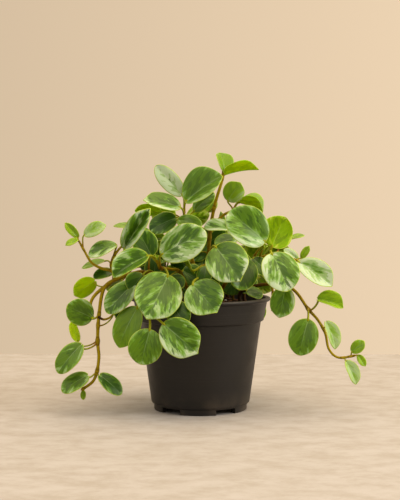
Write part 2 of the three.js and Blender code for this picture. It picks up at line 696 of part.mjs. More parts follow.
const stems = [
  ["stem_left", leftStem, STEM_COLORS.mid],
  ["stem_front_left", frontLeftStem, STEM_COLORS.mid],
  ["stem_rim", rimStem, STEM_COLORS.dark],
  ["stem_front_middle", frontMiddleStem, STEM_COLORS.mid],
  ["stem_upper_left", upperLeftStem, STEM_COLORS.bright],
  ["stem_crown", crownStem, STEM_COLORS.bright],
  ["stem_right", rightStem, STEM_COLORS.bright],
  ["stem_right_trailing", rightTrailingStem, STEM_COLORS.dark],
  ["stem_left_side", leftSideStem, STEM_COLORS.dark],
  ["stem_right_side", rightSideStem, STEM_COLORS.dark],
  ["stem_rear_left", rearLeftStem, STEM_COLORS.mid],
  ["stem_rear_middle", rearMiddleStem, STEM_COLORS.mid],
  ["stem_rear_right", rearRightStem, STEM_COLORS.mid],
  ["stem_rear_crown_left", rearCrownLeftStem, STEM_COLORS.bright],
  ["stem_rear_crown_right", rearCrownRightStem, STEM_COLORS.bright],
];

const plant = new THREE.Group();
plant.position.set(POT_AXIS_X, POT_AXIS_Y, 0);
plant.add(subPart("pot", buildPot(), POT_BLACK, 0.6));

let soil = buildSoil();
for (const [name, shoots, color] of stems) {
  plant.add(subPart(name, leafyStem(shoots), color, 0.4));
  soil = soil.subtract(rootHole(shoots[0]));
}
plant.add(subPart("soil", soil, SOIL_BROWN, 0.95));

const group = new THREE.Group();
group.add(plant);

export default group;
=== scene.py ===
import math
import random

import bmesh
import bpy
import numpy as np
from mathutils import Matrix, Vector, noise


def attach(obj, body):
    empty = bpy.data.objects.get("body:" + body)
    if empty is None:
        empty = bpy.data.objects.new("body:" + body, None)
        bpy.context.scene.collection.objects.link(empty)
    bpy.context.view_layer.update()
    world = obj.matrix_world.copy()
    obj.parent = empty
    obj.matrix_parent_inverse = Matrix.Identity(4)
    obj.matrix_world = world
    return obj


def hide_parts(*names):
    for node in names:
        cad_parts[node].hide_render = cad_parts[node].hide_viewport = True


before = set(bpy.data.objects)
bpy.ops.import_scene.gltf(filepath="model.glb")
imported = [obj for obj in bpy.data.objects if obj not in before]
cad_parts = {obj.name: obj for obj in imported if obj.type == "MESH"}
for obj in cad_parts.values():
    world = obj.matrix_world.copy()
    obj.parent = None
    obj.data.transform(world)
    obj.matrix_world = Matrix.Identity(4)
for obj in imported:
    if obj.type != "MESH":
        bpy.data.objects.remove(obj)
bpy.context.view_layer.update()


# Camera: it stands a metre in front of the pot, level with the upper leaves and tipped a little
# down, with a long lens that shows the plant as the photograph does. Lengths in this file are
# millimetres from the pot's axis, with the viewer towards -Y, and metres() converts them.
POT_AXIS = Vector((-8.5, -11, 0))
EYE_DISTANCE = 1000
EYE_HEIGHT = 179
EYE_LEFT = 0.43
EYE_DIP = 2.45
LENS = 84
SENSOR_WIDTH = 36


def metres(point):
    return (POT_AXIS + Vector(point)) * 0.001


def placed(name, data):
    """Puts a mesh, a light or the camera into the scene."""
    thing = bpy.data.objects.new(name, data)
    bpy.context.scene.collection.objects.link(thing)
    return thing


camera_data = bpy.data.cameras.new("photo_camera")
camera_data.lens = LENS
camera_data.sensor_width = SENSOR_WIDTH
camera = placed("photo_camera", camera_data)
camera.location = metres((-EYE_LEFT, -EYE_DISTANCE, EYE_HEIGHT))
camera.rotation_euler = (math.radians(90 - EYE_DIP), 0, 0)
bpy.context.scene.camera = camera


# Pot: a nursery pot moulded in one piece of thin black plastic. Its lip is rolled outwards, a
# collar steps out over the tapered body, and the raised floor stands on a notched foot ring.
POT_HEIGHT = 96
RIM_RADIUS = 60
RIM_DROP = 2.5
COLLAR_TOP_RADIUS = 57.2
COLLAR_FOOT_RADIUS = 54.2
COLLAR_FOOT_Z = 76.5
COLLAR_STEP = 1
BODY_TOP_RADIUS = 51.9
BODY_FOOT_RADIUS = 42.3
FOOT_RADIUS = 39.9
FOOT_HEIGHT = 5.5
FOOT_WIDTH = 3.4
WALL = 1.3
FLOOR_THICKNESS = 1.6
NOTCH_COUNT = 5
NOTCH_SPAN = 28
NOTCH_START = 33
DRAIN_RADIUS = 4.5
DRAIN_RING = 30
POT_SIDES = 180
POT_CREASE = 40
DUST_HEIGHT = 22


def around(radius, angle):
    """A place round the pot: angles are degrees from the front, towards +X."""
    turn = math.radians(angle)
    return radius * math.sin(turn), -radius * math.cos(turn)


def rounded(corners, steps=5):
    """An outline of (radius, z, rounding) corners, with each rounding as a short curve."""
    outline = [Vector(corners[0][:2])]
    for before, corner, after in zip(corners, corners[1:], corners[2:]):
        middle = Vector(corner[:2])
        towards = (Vector(before[:2]) - middle).normalized() * corner[2]
        onwards = (Vector(after[:2]) - middle).normalized() * corner[2]
        if corner[2] == 0:
            outline.append(middle)
            continue
        for i in range(steps + 1):
            t = i / steps
            outline.append(middle + towards * (1 - t) ** 2 + onwards * t ** 2)
    outline.append(Vector(corners[-1][:2]))
    return outline


def turned(outline, sides):
    """A solid turned round the pot's axis: the outline starts and ends on that axis."""
    solid = bmesh.new()
    rows = []
    for radius, z in outline[1:-1]:
        rows.append([solid.verts.new(metres((*around(radius, 360 * j / sides), z)))
                     for j in range(sides)])
    first = solid.verts.new(metres((0, 0, outline[0][1])))
    last = solid.verts.new(metres((0, 0, outline[-1][1])))
    for j in range(sides):
        after = (j + 1) % sides
        solid.faces.new((first, rows[0][after], rows[0][j]))
        solid.faces.new((last, rows[-1][j], rows[-1][after]))
        for low, high in zip(rows, rows[1:]):
            solid.faces.new((low[j], low[after], high[after], high[j]))
    bmesh.ops.recalc_face_normals(solid, faces=solid.faces)
    return solid


def piece_from(solid, name, crease=POT_CREASE):
    """Turns finished mesh code into a piece that is smooth but for its real edges."""
    mesh = bpy.data.meshes.new(name)
    solid.to_mesh(mesh)
    solid.free()
    mesh.shade_smooth()
    mesh.set_sharp_from_angle(angle=math.radians(crease))
    return placed(name, mesh)


def belongs(piece, slot, *nodes):
    """The whole plant is one body, so every piece rides on it and hides the CAD nodes it replaces.
    The slot is not used.
    """
    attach(piece, "root")
    if nodes:
        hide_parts(*nodes)


def arc_block(middle, span, inner, outer, bottom, top, steps=8):
    """A curved block round the pot's axis, which cuts one notch out of the foot ring."""
    block = bmesh.new()
    corners = []
    for i in range(steps + 1):
        angle = middle + span * (i / steps - 0.5)
        section = (inner, bottom), (outer, bottom), (outer, top), (inner, top)
        corners.append([block.verts.new(metres((*around(radius, angle), z)))
                        for radius, z in section])
    for here, there in zip(corners, corners[1:]):
        for k in range(4):
            block.faces.new((here[k], here[(k + 1) % 4], there[(k + 1) % 4], there[k]))
    block.faces.new(corners[0])
    block.faces.new(corners[-1])
    bmesh.ops.recalc_face_normals(block, faces=block.faces)
    return piece_from(block, "notch_cutter")


def drain_plug(ring, angle, depth):
    plug = bmesh.new()
    place = Matrix.Translation(metres((*around(ring, angle), depth / 2 - 1)))
    bmesh.ops.create_cone(plug, cap_ends=True, segments=32, radius1=DRAIN_RADIUS / 1000,
                          radius2=DRAIN_RADIUS / 1000, depth=depth / 1000, matrix=place)
    return piece_from(plug, "drain_cutter")


def cut_away(piece, cutters):
    """Cuts each cutter out of the piece, and throws the cutters away."""
    bpy.context.view_layer.objects.active = piece
    for cutter in cutters:
        cut = piece.modifiers.new("cut", "BOOLEAN")
        cut.object = cutter
        bpy.ops.object.modifier_apply(modifier=cut.name)
        bpy.data.objects.remove(cutter)


pot_outline = rounded([
    (0, FOOT_HEIGHT, 0),
    (FOOT_RADIUS - FOOT_WIDTH, FOOT_HEIGHT, 0.5),
    (FOOT_RADIUS - FOOT_WIDTH, 0, 0.4),
    (FOOT_RADIUS, 0, 0.5),
    (FOOT_RADIUS, FOOT_HEIGHT - 0.5, 0.3),
    (BODY_FOOT_RADIUS - 0.2, FOOT_HEIGHT + 0.2, 1.6),
    (BODY_TOP_RADIUS, COLLAR_FOOT_Z - COLLAR_STEP, 0.5),
    (COLLAR_FOOT_RADIUS, COLLAR_FOOT_Z, 0.8),
    (COLLAR_TOP_RADIUS, POT_HEIGHT - RIM_DROP - COLLAR_STEP, 0.8),
    (RIM_RADIUS, POT_HEIGHT - RIM_DROP, 1.1),
    (RIM_RADIUS, POT_HEIGHT, 1.2),
    (COLLAR_TOP_RADIUS - WALL, POT_HEIGHT, 0.6),
    (COLLAR_FOOT_RADIUS - WALL, COLLAR_FOOT_Z, 0.5),
    (BODY_TOP_RADIUS - WALL, COLLAR_FOOT_Z - COLLAR_STEP, 0.5),
    (BODY_FOOT_RADIUS - WALL, FOOT_HEIGHT + FLOOR_THICKNESS, 2),
    (0, FOOT_HEIGHT + FLOOR_THICKNESS, 0),
])
pot = piece_from(turned(pot_outline, POT_SIDES), "pot_shell")
pot_cutters = [drain_plug(0, 0, FOOT_HEIGHT + FLOOR_THICKNESS + 2)]
for k in range(NOTCH_COUNT):
    notch_middle = NOTCH_START + 360 / NOTCH_COUNT * k
    pot_cutters.append(drain_plug(DRAIN_RING, notch_middle, FOOT_HEIGHT + FLOOR_THICKNESS + 2))
    pot_cutters.append(arc_block(notch_middle, NOTCH_SPAN, FOOT_RADIUS - FOOT_WIDTH - 1,
                                 FOOT_RADIUS + 1, -1, FOOT_HEIGHT - 1))
cut_away(pot, pot_cutters)
pot.data.set_sharp_from_angle(angle=math.radians(POT_CREASE))


def paint(red, green, blue):
    """A colour given in the 0 to 255 of a screen, as a shader's linear colour."""
    share = [c / 255 for c in (red, green, blue)]
    return (*[c / 12.92 if c < 0.04045 else ((c + 0.055) / 1.055) ** 2.4 for c in share], 1)


class Finish:
    """The nodes of a material, or of the room's glow, and short words that make them."""

    def __init__(self, name, values, kind=bpy.data.materials, shader="Principled BSDF"):
        self.owner = kind.new(name)
        self.owner.use_nodes = True
        self.tree = self.owner.node_tree
        self.shader = self.tree.nodes[shader]
        for socket, value in values.items():
            self.set(socket, value)

    def set(self, socket, value):
        self.fill(self.shader.inputs[socket], value)

    def fill(self, socket, value):
        if isinstance(value, bpy.types.NodeSocket):
            self.tree.links.new(value, socket)
        else:
            socket.default_value = value

    def node(self, kind, output, inputs, **settings):
        node = self.tree.nodes.new(kind)
        for name, value in settings.items():
            setattr(node, name, value)
        for socket, value in inputs.items():
            self.fill(node.inputs[socket], value)
        return node.outputs[output]

    def place(self):
        return self.node("ShaderNodeTexCoord", "Object", {})

    def painted(self, name, channel="Vector"):
        return self.node("ShaderNodeAttribute", channel, {}, attribute_name=name)

    def parts(self, vector):
        split = self.tree.nodes.new("ShaderNodeSeparateXYZ")
        self.fill(split.inputs[0], vector)
        return tuple(split.outputs)

    def joined(self, x, y, z):
        return self.node("ShaderNodeCombineXYZ", 0, {0: x, 1: y, 2: z})

    def scaled(self, vector, sizes):
        return self.node("ShaderNodeMapping", 0, {"Vector": vector, "Scale": sizes})

    def sum(self, operation, a, b=0, c=0):
        return self.node("ShaderNodeMath", 0, {0: a, 1: b, 2: c}, operation=operation)

    def times(self, a, b):
        return self.sum("MULTIPLY", a, b)

    def line(self, value, slope, start):
        return self.sum("MULTIPLY_ADD", value, slope, start)

    def plus(self, first, *others):
        for other in others:
            first = self.sum("ADD", first, other)
        return first

    def grain(self, vector, scale, detail=3, roughness=0.55):
        return self.node("ShaderNodeTexNoise", 0, {
            "Vector": vector, "Scale": scale, "Detail": detail, "Roughness": roughness})

    def cells(self, vector, scale):
        return self.node("ShaderNodeTexVoronoi", "Distance", {"Vector": vector, "Scale": scale})

    def between(self, value, low, high, from_value=0, to_value=1, way="SMOOTHSTEP"):
        """Goes from one value to another while the input goes from low to high."""
        return self.node("ShaderNodeMapRange", 0, {
            0: value, 1: low, 2: high, 3: from_value, 4: to_value}, interpolation_type=way)

    def layered(self, colour, *layers):
        """Lays colours over a first one, each with its share. A colour is 0 to 255, or nodes."""
        under = paint(*colour) if isinstance(colour, tuple) else colour
        for share, over in layers:
            over = paint(*over) if isinstance(over, tuple) else over
            under = self.node("ShaderNodeMix", 2, {0: share, 6: under, 7: over}, data_type="RGBA")
        return under

    def relief(self, height, depth, below=None, strength=1):
        """Bumps of a depth in millimetres, over those of an earlier relief."""
        inputs = {"Height": height, "Distance": depth / 1000, "Strength": strength}
        if below is not None:
            inputs["Normal"] = below
        return self.node("ShaderNodeBump", 0, inputs)


def black_plastic():
    """Matt plastic with fine mould lines, most on the collar, a painted highlight on the lip, and a
    little pale dust.
    """
    finish = Finish("black_pot_plastic", {"Specular IOR Level": 0.36})
    place = finish.place()
    height = finish.times(finish.parts(place)[2], 1000)
    mould_lines = finish.grain(finish.scaled(place, (4, 4, 900)), 1, 2)
    on_collar = finish.between(height, COLLAR_FOOT_Z - 1.5, COLLAR_FOOT_Z + 1.5, 0.3)
    lines = finish.times(finish.between(mould_lines, 0.5, 0.75), on_collar)
    clouds = finish.grain(place, 45, 4)
    specks = finish.between(finish.cells(place, 900), 0.12, 0.05)
    dust = finish.times(finish.between(height, DUST_HEIGHT, 0), finish.between(clouds, 0.4, 0.65))
    finish.set("Base Color", finish.layered(
        (14, 12, 10),
        (clouds, (27, 24, 21)),
        (finish.times(lines, 0.15), (66, 61, 56)),
        # Painted highlight: the top of the lip is made lighter, as where it catches the light from
        # above.
        (finish.between(height, POT_HEIGHT - 1.5, POT_HEIGHT - 0.5, 0, 0.45), (88, 82, 72)),
        (finish.times(dust, 0.22), (112, 98, 80)),
        (finish.times(specks, 0.16), (120, 108, 92))))
    finish.set("Roughness", finish.between(clouds, 0.3, 0.7, 0.42, 0.55))
    grain = finish.relief(finish.grain(place, 2600, 2), 0.05, strength=0.35)
    finish.set("Normal", finish.relief(lines, 0.12, grain, strength=0.3))
    return finish.owner


pot.data.materials.append(black_plastic())
belongs(pot, "pot_plastic", "pot")


# Soil: a root ball of dark peat fills the pot to a little below the lip, and is mounded in the
# middle. Loose crumbs, chips of bark, white grains of perlite and tan fibres lie on it.
SOIL_SIDE_GAP = 0.5
SOIL_FLOOR_GAP = 0.3
SOIL_EDGE_Z = 89.5
SOIL_MOUND = 3.5
LUMP_HEIGHT = 0.9
SOIL_SIDES = 150
SOIL_RINGS = 50
SOIL_ROUGHNESS = 1.1
CRUMB_COUNT = 1100
BARK_COUNT = 75
PERLITE_COUNT = 26
FIBRE_COUNT = 110
FIBRE_RINGS = 9
FIBRE_STEP = 1.1
FIBRE_ARCH = 0.9
FIBRE_LIFT = 0.15
FIBRE_INSET = 8
FIBRE_MOST_CURVE = 0.12
FIBRE_RADII = (0.14, 0.26)
STREWN_LEAST_WIDTH = 0.55
STREWN_WIDTH_SPREAD = 0.4
STREWN_MOST_TILT = 0.5
STREWN_LIFT = 0.1
STREWN_CREASE = 35

soil_inset = WALL + SOIL_SIDE_GAP
soil_edge = COLLAR_FOOT_RADIUS - soil_inset
soil_random = random.Random(4)


def soil_height(radius, angle):
    """The mound with its wide lumps, and small crumbly unevenness over them."""
    inward = 1 - (radius / soil_edge) ** 2
    turn = math.radians(angle)
    lumps = math.sin(3 * turn + radius * 0.11) + math.cos(5 * turn - radius * 0.17)
    x, y = around(radius, angle)
    crumbs = noise.fractal(Vector((x, y, 0)) * 0.28, 0.6, 2.1, 5)
    level = SOIL_EDGE_Z + SOIL_MOUND * inward + LUMP_HEIGHT * lumps * (0.3 + 0.7 * inward)
    return level + SOIL_ROUGHNESS * crumbs


def root_ball():
    side = [
        (BODY_FOOT_RADIUS - soil_inset, FOOT_HEIGHT + FLOOR_THICKNESS + SOIL_FLOOR_GAP),
        (BODY_TOP_RADIUS - soil_inset, COLLAR_FOOT_Z - COLLAR_STEP),
        (soil_edge, COLLAR_FOOT_Z + COLLAR_STEP),
    ]
    outline = [Vector((0, side[0][1])), *[Vector(corner) for corner in side]]
    for i in range(SOIL_RINGS, 0, -1):
        outline.append(Vector((soil_edge * i / SOIL_RINGS, 0)))
    outline.append(Vector((0, soil_height(0, 0))))
    ball = turned(outline, SOIL_SIDES)
    axis = POT_AXIS * 0.001
    for vertex in ball.verts:
        if vertex.co.z == 0:
            offset = (vertex.co - axis) * 1000
            angle = math.degrees(math.atan2(offset.x, -offset.y))
            vertex.co.z = soil_height(math.hypot(offset.x, offset.y), angle) * 0.001
    return piece_from(ball, "soil_ball", crease=180)


class Growth:
    """Gathers the bodies of one piece: points, faces, their material and painted values."""

    def __init__(self):
        self.points = []
        self.faces = []
        self.finishes = []
        self.painted = {}

    def add(self, points, faces, finish=0, **painted):
        first = sum(len(block) for block in self.points)
        self.points.append(points)
        self.faces.extend([tuple(first + corner for corner in face) for face in faces])
        self.finishes.extend([finish] * len(faces) if isinstance(finish, int) else finish)
        for name, values in painted.items():
            shape = (len(points), *np.shape(values)[-1:])
            self.painted.setdefault(name, []).append(np.broadcast_to(values, shape))

    def piece(self, name, materials=(), crease=None):
        mesh = bpy.data.meshes.new(name)
        places = (np.concatenate(self.points) + np.array(POT_AXIS)) * 0.001
        mesh.from_pydata(places.tolist(), [], self.faces)
        for label, blocks in self.painted.items():
            values = np.concatenate(blocks).astype(np.float32)
            kind, field = ("FLOAT", "value") if values.ndim == 1 else ("FLOAT_COLOR", "color")
            mesh.attributes.new(label, kind, "POINT").data.foreach_set(field, values.ravel())
        mesh.polygons.foreach_set("material_index", self.finishes)
        mesh.shade_smooth()
        if crease:
            mesh.set_sharp_from_angle(angle=math.radians(crease))
        for material in materials:
            mesh.materials.append(material)
        return placed(name, mesh)


def quads(grid):
    """The faces between neighbours in a grid of point numbers."""
    corners = grid[:-1, :-1], grid[:-1, 1:], grid[1:, 1:], grid[1:, :-1]
    return np.stack(corners, axis=-1).reshape(-1, 4)


def tube_faces(rings, sides):
    """The faces of a tube that is closed at both ends."""
    grid = np.arange(rings * sides).reshape(rings, sides)
    walls = quads(np.hstack([grid, grid[:, :1]]))
    return [grid[0, ::-1].tolist(), grid[-1].tolist(), *walls.tolist()]


def lump_shape(subdivisions):
    ball = bmesh.new()
    bmesh.ops.create_icosphere(ball, subdivisions=subdivisions, radius=1)
    points = [vertex.co.copy() for vertex in ball.verts]
    faces = [[vertex.index for vertex in face.verts] for face in ball.faces]
    ball.free()
    return points, faces


def scattered(reach):
    """An even random place on the soil, in polar form."""
    return reach * math.sqrt(soil_random.random()), 360 * soil_random.random()


def strewn(name, count, sizes, flatness, roughness, subdivisions=2):
    """Small lumps that lie half sunk in the soil."""
    points, faces = lump_shape(subdivisions)
    heap = Growth()
    for _ in range(count):
        radius, angle = scattered(soil_edge - sizes[1])
        size = sizes[0] + (sizes[1] - sizes[0]) * soil_random.random() ** 2
        width = STREWN_LEAST_WIDTH + STREWN_WIDTH_SPREAD * soil_random.random()
        squash = Vector((1, width, flatness))
        turn = Matrix.Rotation(math.tau * soil_random.random(), 3, "Z")
        lean = soil_random.uniform(-STREWN_MOST_TILT, STREWN_MOST_TILT)
        tilt = Matrix.Rotation(lean, 3, "X")
        offset = Vector([soil_random.uniform(0, 50) for _ in range(3)])
        level = soil_height(radius, angle) + STREWN_LIFT * size
        centre = Vector((*around(radius, angle), level))
        body = []
        for point in points:
            bulge = 1 + roughness * noise.noise(point * 1.3 + offset)
            body.append(centre + turn @ tilt @ (point * squash * size * bulge))
        heap.add(np.array(body), faces, shade=soil_random.random())
    return heap.piece(name, crease=STREWN_CREASE)


def soil_fibres():
    heap = Growth()
    for _ in range(FIBRE_COUNT):
        radius, angle = scattered(soil_edge - FIBRE_INSET)
        start = Vector(around(radius, angle))
        heading = soil_random.uniform(0, math.tau)
        curve = soil_random.uniform(-FIBRE_MOST_CURVE, FIBRE_MOST_CURVE)
        thick = soil_random.uniform(*FIBRE_RADII)
        rings = []
        for i in range(FIBRE_RINGS):
            turn = heading + curve * i
            start = start + Vector((math.cos(turn), math.sin(turn))) * FIBRE_STEP
            angle = math.degrees(math.atan2(start.x, -start.y))
            arch = FIBRE_ARCH * math.sin(math.pi * i / (FIBRE_RINGS - 1))
            lift = soil_height(start.length, angle) + FIBRE_LIFT + arch
            centre = Vector((start.x, start.y, lift))
            sideways = Vector((-math.sin(turn), math.cos(turn), 0)) * thick
            upwards = Vector((0, 0, thick))
            rings += [centre + sideways, centre + upwards, centre - sideways, centre - upwards]
        heap.add(np.array(rings), tube_faces(FIBRE_RINGS, 4), shade=soil_random.random())
    return heap.piece("soil_fibres", crease=STREWN_CREASE)


def earthy(name, dark, light, grain_scale, roughness, is_strewn):
    finish = Finish(name, {"Roughness": roughness, "Specular IOR Level": 0.15})
    place = finish.place()
    coarse = finish.grain(place, grain_scale, 6, 0.7)
    share = finish.between(coarse, 0.35, 0.72)
    if is_strewn:
        share = finish.line(share, 0.45, finish.times(finish.painted("shade", "Fac"), 0.6))
    flecks = finish.between(finish.cells(place, grain_scale * 4), 0.28, 0.1)
    finish.set("Base Color", finish.layered(
        dark,
        (share, light),
        (finish.times(flecks, 0.25), (120, 82, 46))))
    finish.set("Normal", finish.relief(coarse, 0.8, strength=0.8))
    return finish.owner


soil_pieces = {
    "soil_ball": (root_ball(), (14, 9, 6), (44, 30, 20), 420, 0.95),
    "soil_crumbs": (strewn("soil_crumbs", CRUMB_COUNT, (0.5, 1.9), 0.75, 0.7, 1),
                    (16, 10, 6), (62, 42, 27), 600, 0.95),
    "soil_bark": (strewn("soil_bark", BARK_COUNT, (1.4, 4.2), 0.3, 0.5),
                  (46, 28, 16), (112, 72, 42), 350, 0.8),
    "soil_perlite": (strewn("soil_perlite", PERLITE_COUNT, (0.7, 1.5), 0.85, 0.5),
                     (176, 168, 150), (226, 220, 206), 900, 0.9),
    "soil_fibres": (soil_fibres(), (96, 64, 36), (160, 116, 70), 500, 0.85),
}
for name, (piece, *look) in soil_pieces.items():
    is_ball = name == "soil_ball"
    piece.data.materials.append(earthy(name + "_peat", *look, not is_ball))
    belongs(piece, "potting_soil", *(["soil"] if is_ball else []))


# Left stem: it grows over the rim and trails down, with short shoots that rise beside it. Each
# stem is a fleshy rod, brown where it is old and green at its end, and each of its leaves is a
# thick waxy blade that grows from it on a round stalk.
ROOT_HEIGHTS = (78, 90, 100)
STEM_SIDES = 14
STEM_STEP = 1.1
STEM_LEAST_RINGS = 12
STEM_END_TAPER = (0.8, 0.35)
SIDE_SHOOT_AGE = 0.45
BUD_ROOM = 0.5
NODE_SWELLING = 0.28
NODE_REACH = 2.2
NODE_RING = 0.7
STALK_SIDES = 10
STALK_STEPS = 14
STALK_RADIUS_OF_WIDTH = 1 / 24
STALK_LEAST_RADIUS = 0.7
STALK_MOST_RADIUS = 1.1
STALK_RISE_OF_REACH = 0.25
STALK_MOST_RISE = 6
STALK_PULL = 0.3
STALK_MOST_PULL = 5
STALK_SAG = 1.2
STALK_LIFT = 1.4
STALK_FLARE = 0.25
STALK_FLARE_REACH = 0.12
STALK_RING_REACH = 0.1
STALK_WAIST = 0.12
STALK_END = 0.55
STALK_INSIDE_BLADE = 0.03
HANG_REACH = 0.2
HANG_SLOPE = -0.5
WIDEST_PLACE = 0.48
BASE_ROUNDNESS = 0.5
TIP_ROUNDNESS = 0.51
TIP_POINT = 0.02
SHARP_TIP_POINT = 0.38
YOUNG_TIP_POINT = 0.7
TIP_POINT_START = 0.75
BASE_LOBE = 0.05
BLADE_BASE_HALF_WIDTH = 0.7
BLADE_THICKNESS = 0.76
BLADE_THICKNESS_OF_WIDTH = 0.0076
BLADE_LEAST_ROWS = 16
BLADE_ROWS_OF_WIDTH = 0.5
BLADE_LEAST_COLUMNS = 13
BLADE_SIDE_COLUMNS_OF_WIDTH = 0.17
MARGIN_ROUNDNESS = 7
MARGIN_CURL = 0.055
MIDRIB_GROOVE = 0.3
GROOVE_REACH = (0.1, 0.035)
MIDRIB_RIDGE = 0.5
RIDGE_REACH = (0.25, 0.03)
FOLD_SOFTNESS = 0.004
FOLD_DROP = 0.063
BASE_RIM = 0.02
EDGE_WAVE = 0.022
EDGE_WAVE_SLANT = 0.35
EDGE_WAVE_COUNTS = (0.8, 1.6)
LARGE_LEAF_LENGTH = 38
BUD_LENGTH = 5.5
BUD_WIDTH = 3.4
BUD_FOLD = 35
BUD_ARCH = 0.1
BUD_AHEAD = 0.92
BUD_SIDEWAYS = 0.38

# How a leaf is coloured: how young it is, how much of it is cream, and how dark its green is
TONES = {
    "young": (0.95, 0, 0),
    "fresh": (0.6, 0.25, 0.15),
    "plain": (0.15, 0.3, 0.6),
    "soft": (0.5, 0.85, 0),
    "lime": (0.85, 0.6, 0),
    "dusty": (0.05, 0.5, 0.4),
    "olive": (0.4, 0.2, 0.45),
    # dark is the deepest green; the blades that lie in the shade of others take it, so there it is
    # partly painted shade
    "dark": (0, 0.16, 0.85),
    "streaked": (0.05, 0.46, 0.62),
    "cream": (0.05, 0.6, 0.55),
    "pale": (0.05, 0.78, 0.25),
    "milky": (0.05, 0.88, 0.1),
    "white": (0.05, 1, 0),
}

# How most blades are made, where a leaf's row doesn't say: how far they arch and fold, where
# their cream leans to, sideways and towards the tip, and how sharp their tip is
USUAL_FORM = [0.05, 10, 0, 0, 0]


def catmull_rom(corners, station):
    """The place on a smooth path at a corner's number, and a fraction beyond it."""
    last = len(corners) - 1
    before = min(int(station), last - 1)
    t = station - before
    p1, p2 = corners[before], corners[before + 1]
    p0 = corners[before - 1] if before > 0 else 2 * p1 - p2
    p3 = corners[before + 2] if before + 2 <= last else 2 * p2 - p1
    start, end = (p2 - p0) / 2, (p3 - p1) / 2
    return (p1 + start * t + (3 * (p2 - p1) - 2 * start - end) * t ** 2
            + (2 * (p1 - p2) + start + end) * t ** 3)


def bezier(ends, t):
    a, b, c, d = ends
    return a * (1 - t) ** 3 + 3 * b * t * (1 - t) ** 2 + 3 * c * t ** 2 * (1 - t) + d * t ** 3


def rod(growth, centres, radii, sides, age, is_stalk, rings):
    """A round rod closed at both ends. Age is painted from start to end, and rings is how dark
    the skin is at each centre."""
    ahead = np.gradient(centres, axis=0)
    ahead /= np.linalg.norm(ahead, axis=1)[:, None]
    normal = np.cross(ahead[0], (0.3, 0.5, 0.8))
    turns = np.arange(sides) * math.tau / sides
    points = []
    for centre, direction, radius in zip(centres, ahead, radii):
        normal = normal - direction * (normal @ direction)
        normal /= np.linalg.norm(normal)
        binormal = np.cross(direction, normal)
        spokes = np.cos(turns)[:, None] * normal + np.sin(turns)[:, None] * binormal
        points.append(centre + radius * spokes)
    shares = np.repeat(np.linspace(0, 1, len(centres)), sides)
    ages = age[0] + (age[1] - age[0]) * shares
    steps = shares * len(centres) * 0.01
    skin = np.stack([ages, steps, np.tile(turns, len(centres)) / math.tau, np.repeat(rings, sides)],
                    axis=1)
    growth.add(np.concatenate(points), tube_faces(len(centres), sides), skin=skin,
               stalk=(is_stalk, is_stalk, is_stalk, 1))


def stem_rod(growth, corners, radii, stations, age):
    """The stem swells a little at each place where a leaf grows, with a dark ring there."""
    spans = len(corners) - 1
    length = np.linalg.norm(np.diff(corners, axis=0), axis=1).sum()
    count = max(STEM_LEAST_RINGS, int(length / STEM_STEP))
    places = np.linspace(0, spans, count)
    centres = np.array([catmull_rom(corners, place) for place in places])
    widths = np.linspace(radii[0], radii[1], count)
    rings = np.zeros(count)
    for station in stations:
        node = catmull_rom(corners, station)
        distance = np.linalg.norm(centres - node, axis=1)
        widths = widths * (1 + NODE_SWELLING * np.exp(-(distance / NODE_REACH) ** 2))
        rings = np.maximum(rings, np.exp(-((distance - NODE_REACH) / NODE_RING) ** 2))
    widths[-2:] *= STEM_END_TAPER
    rod(growth, centres, widths, STEM_SIDES, age, 0, rings)


def look_direction(azimuth, elevation):
    """A direction from degrees: round from the front towards +X, and upwards."""
    level = math.cos(math.radians(elevation))
    return np.array((*around(level, azimuth), math.sin(math.radians(elevation))))


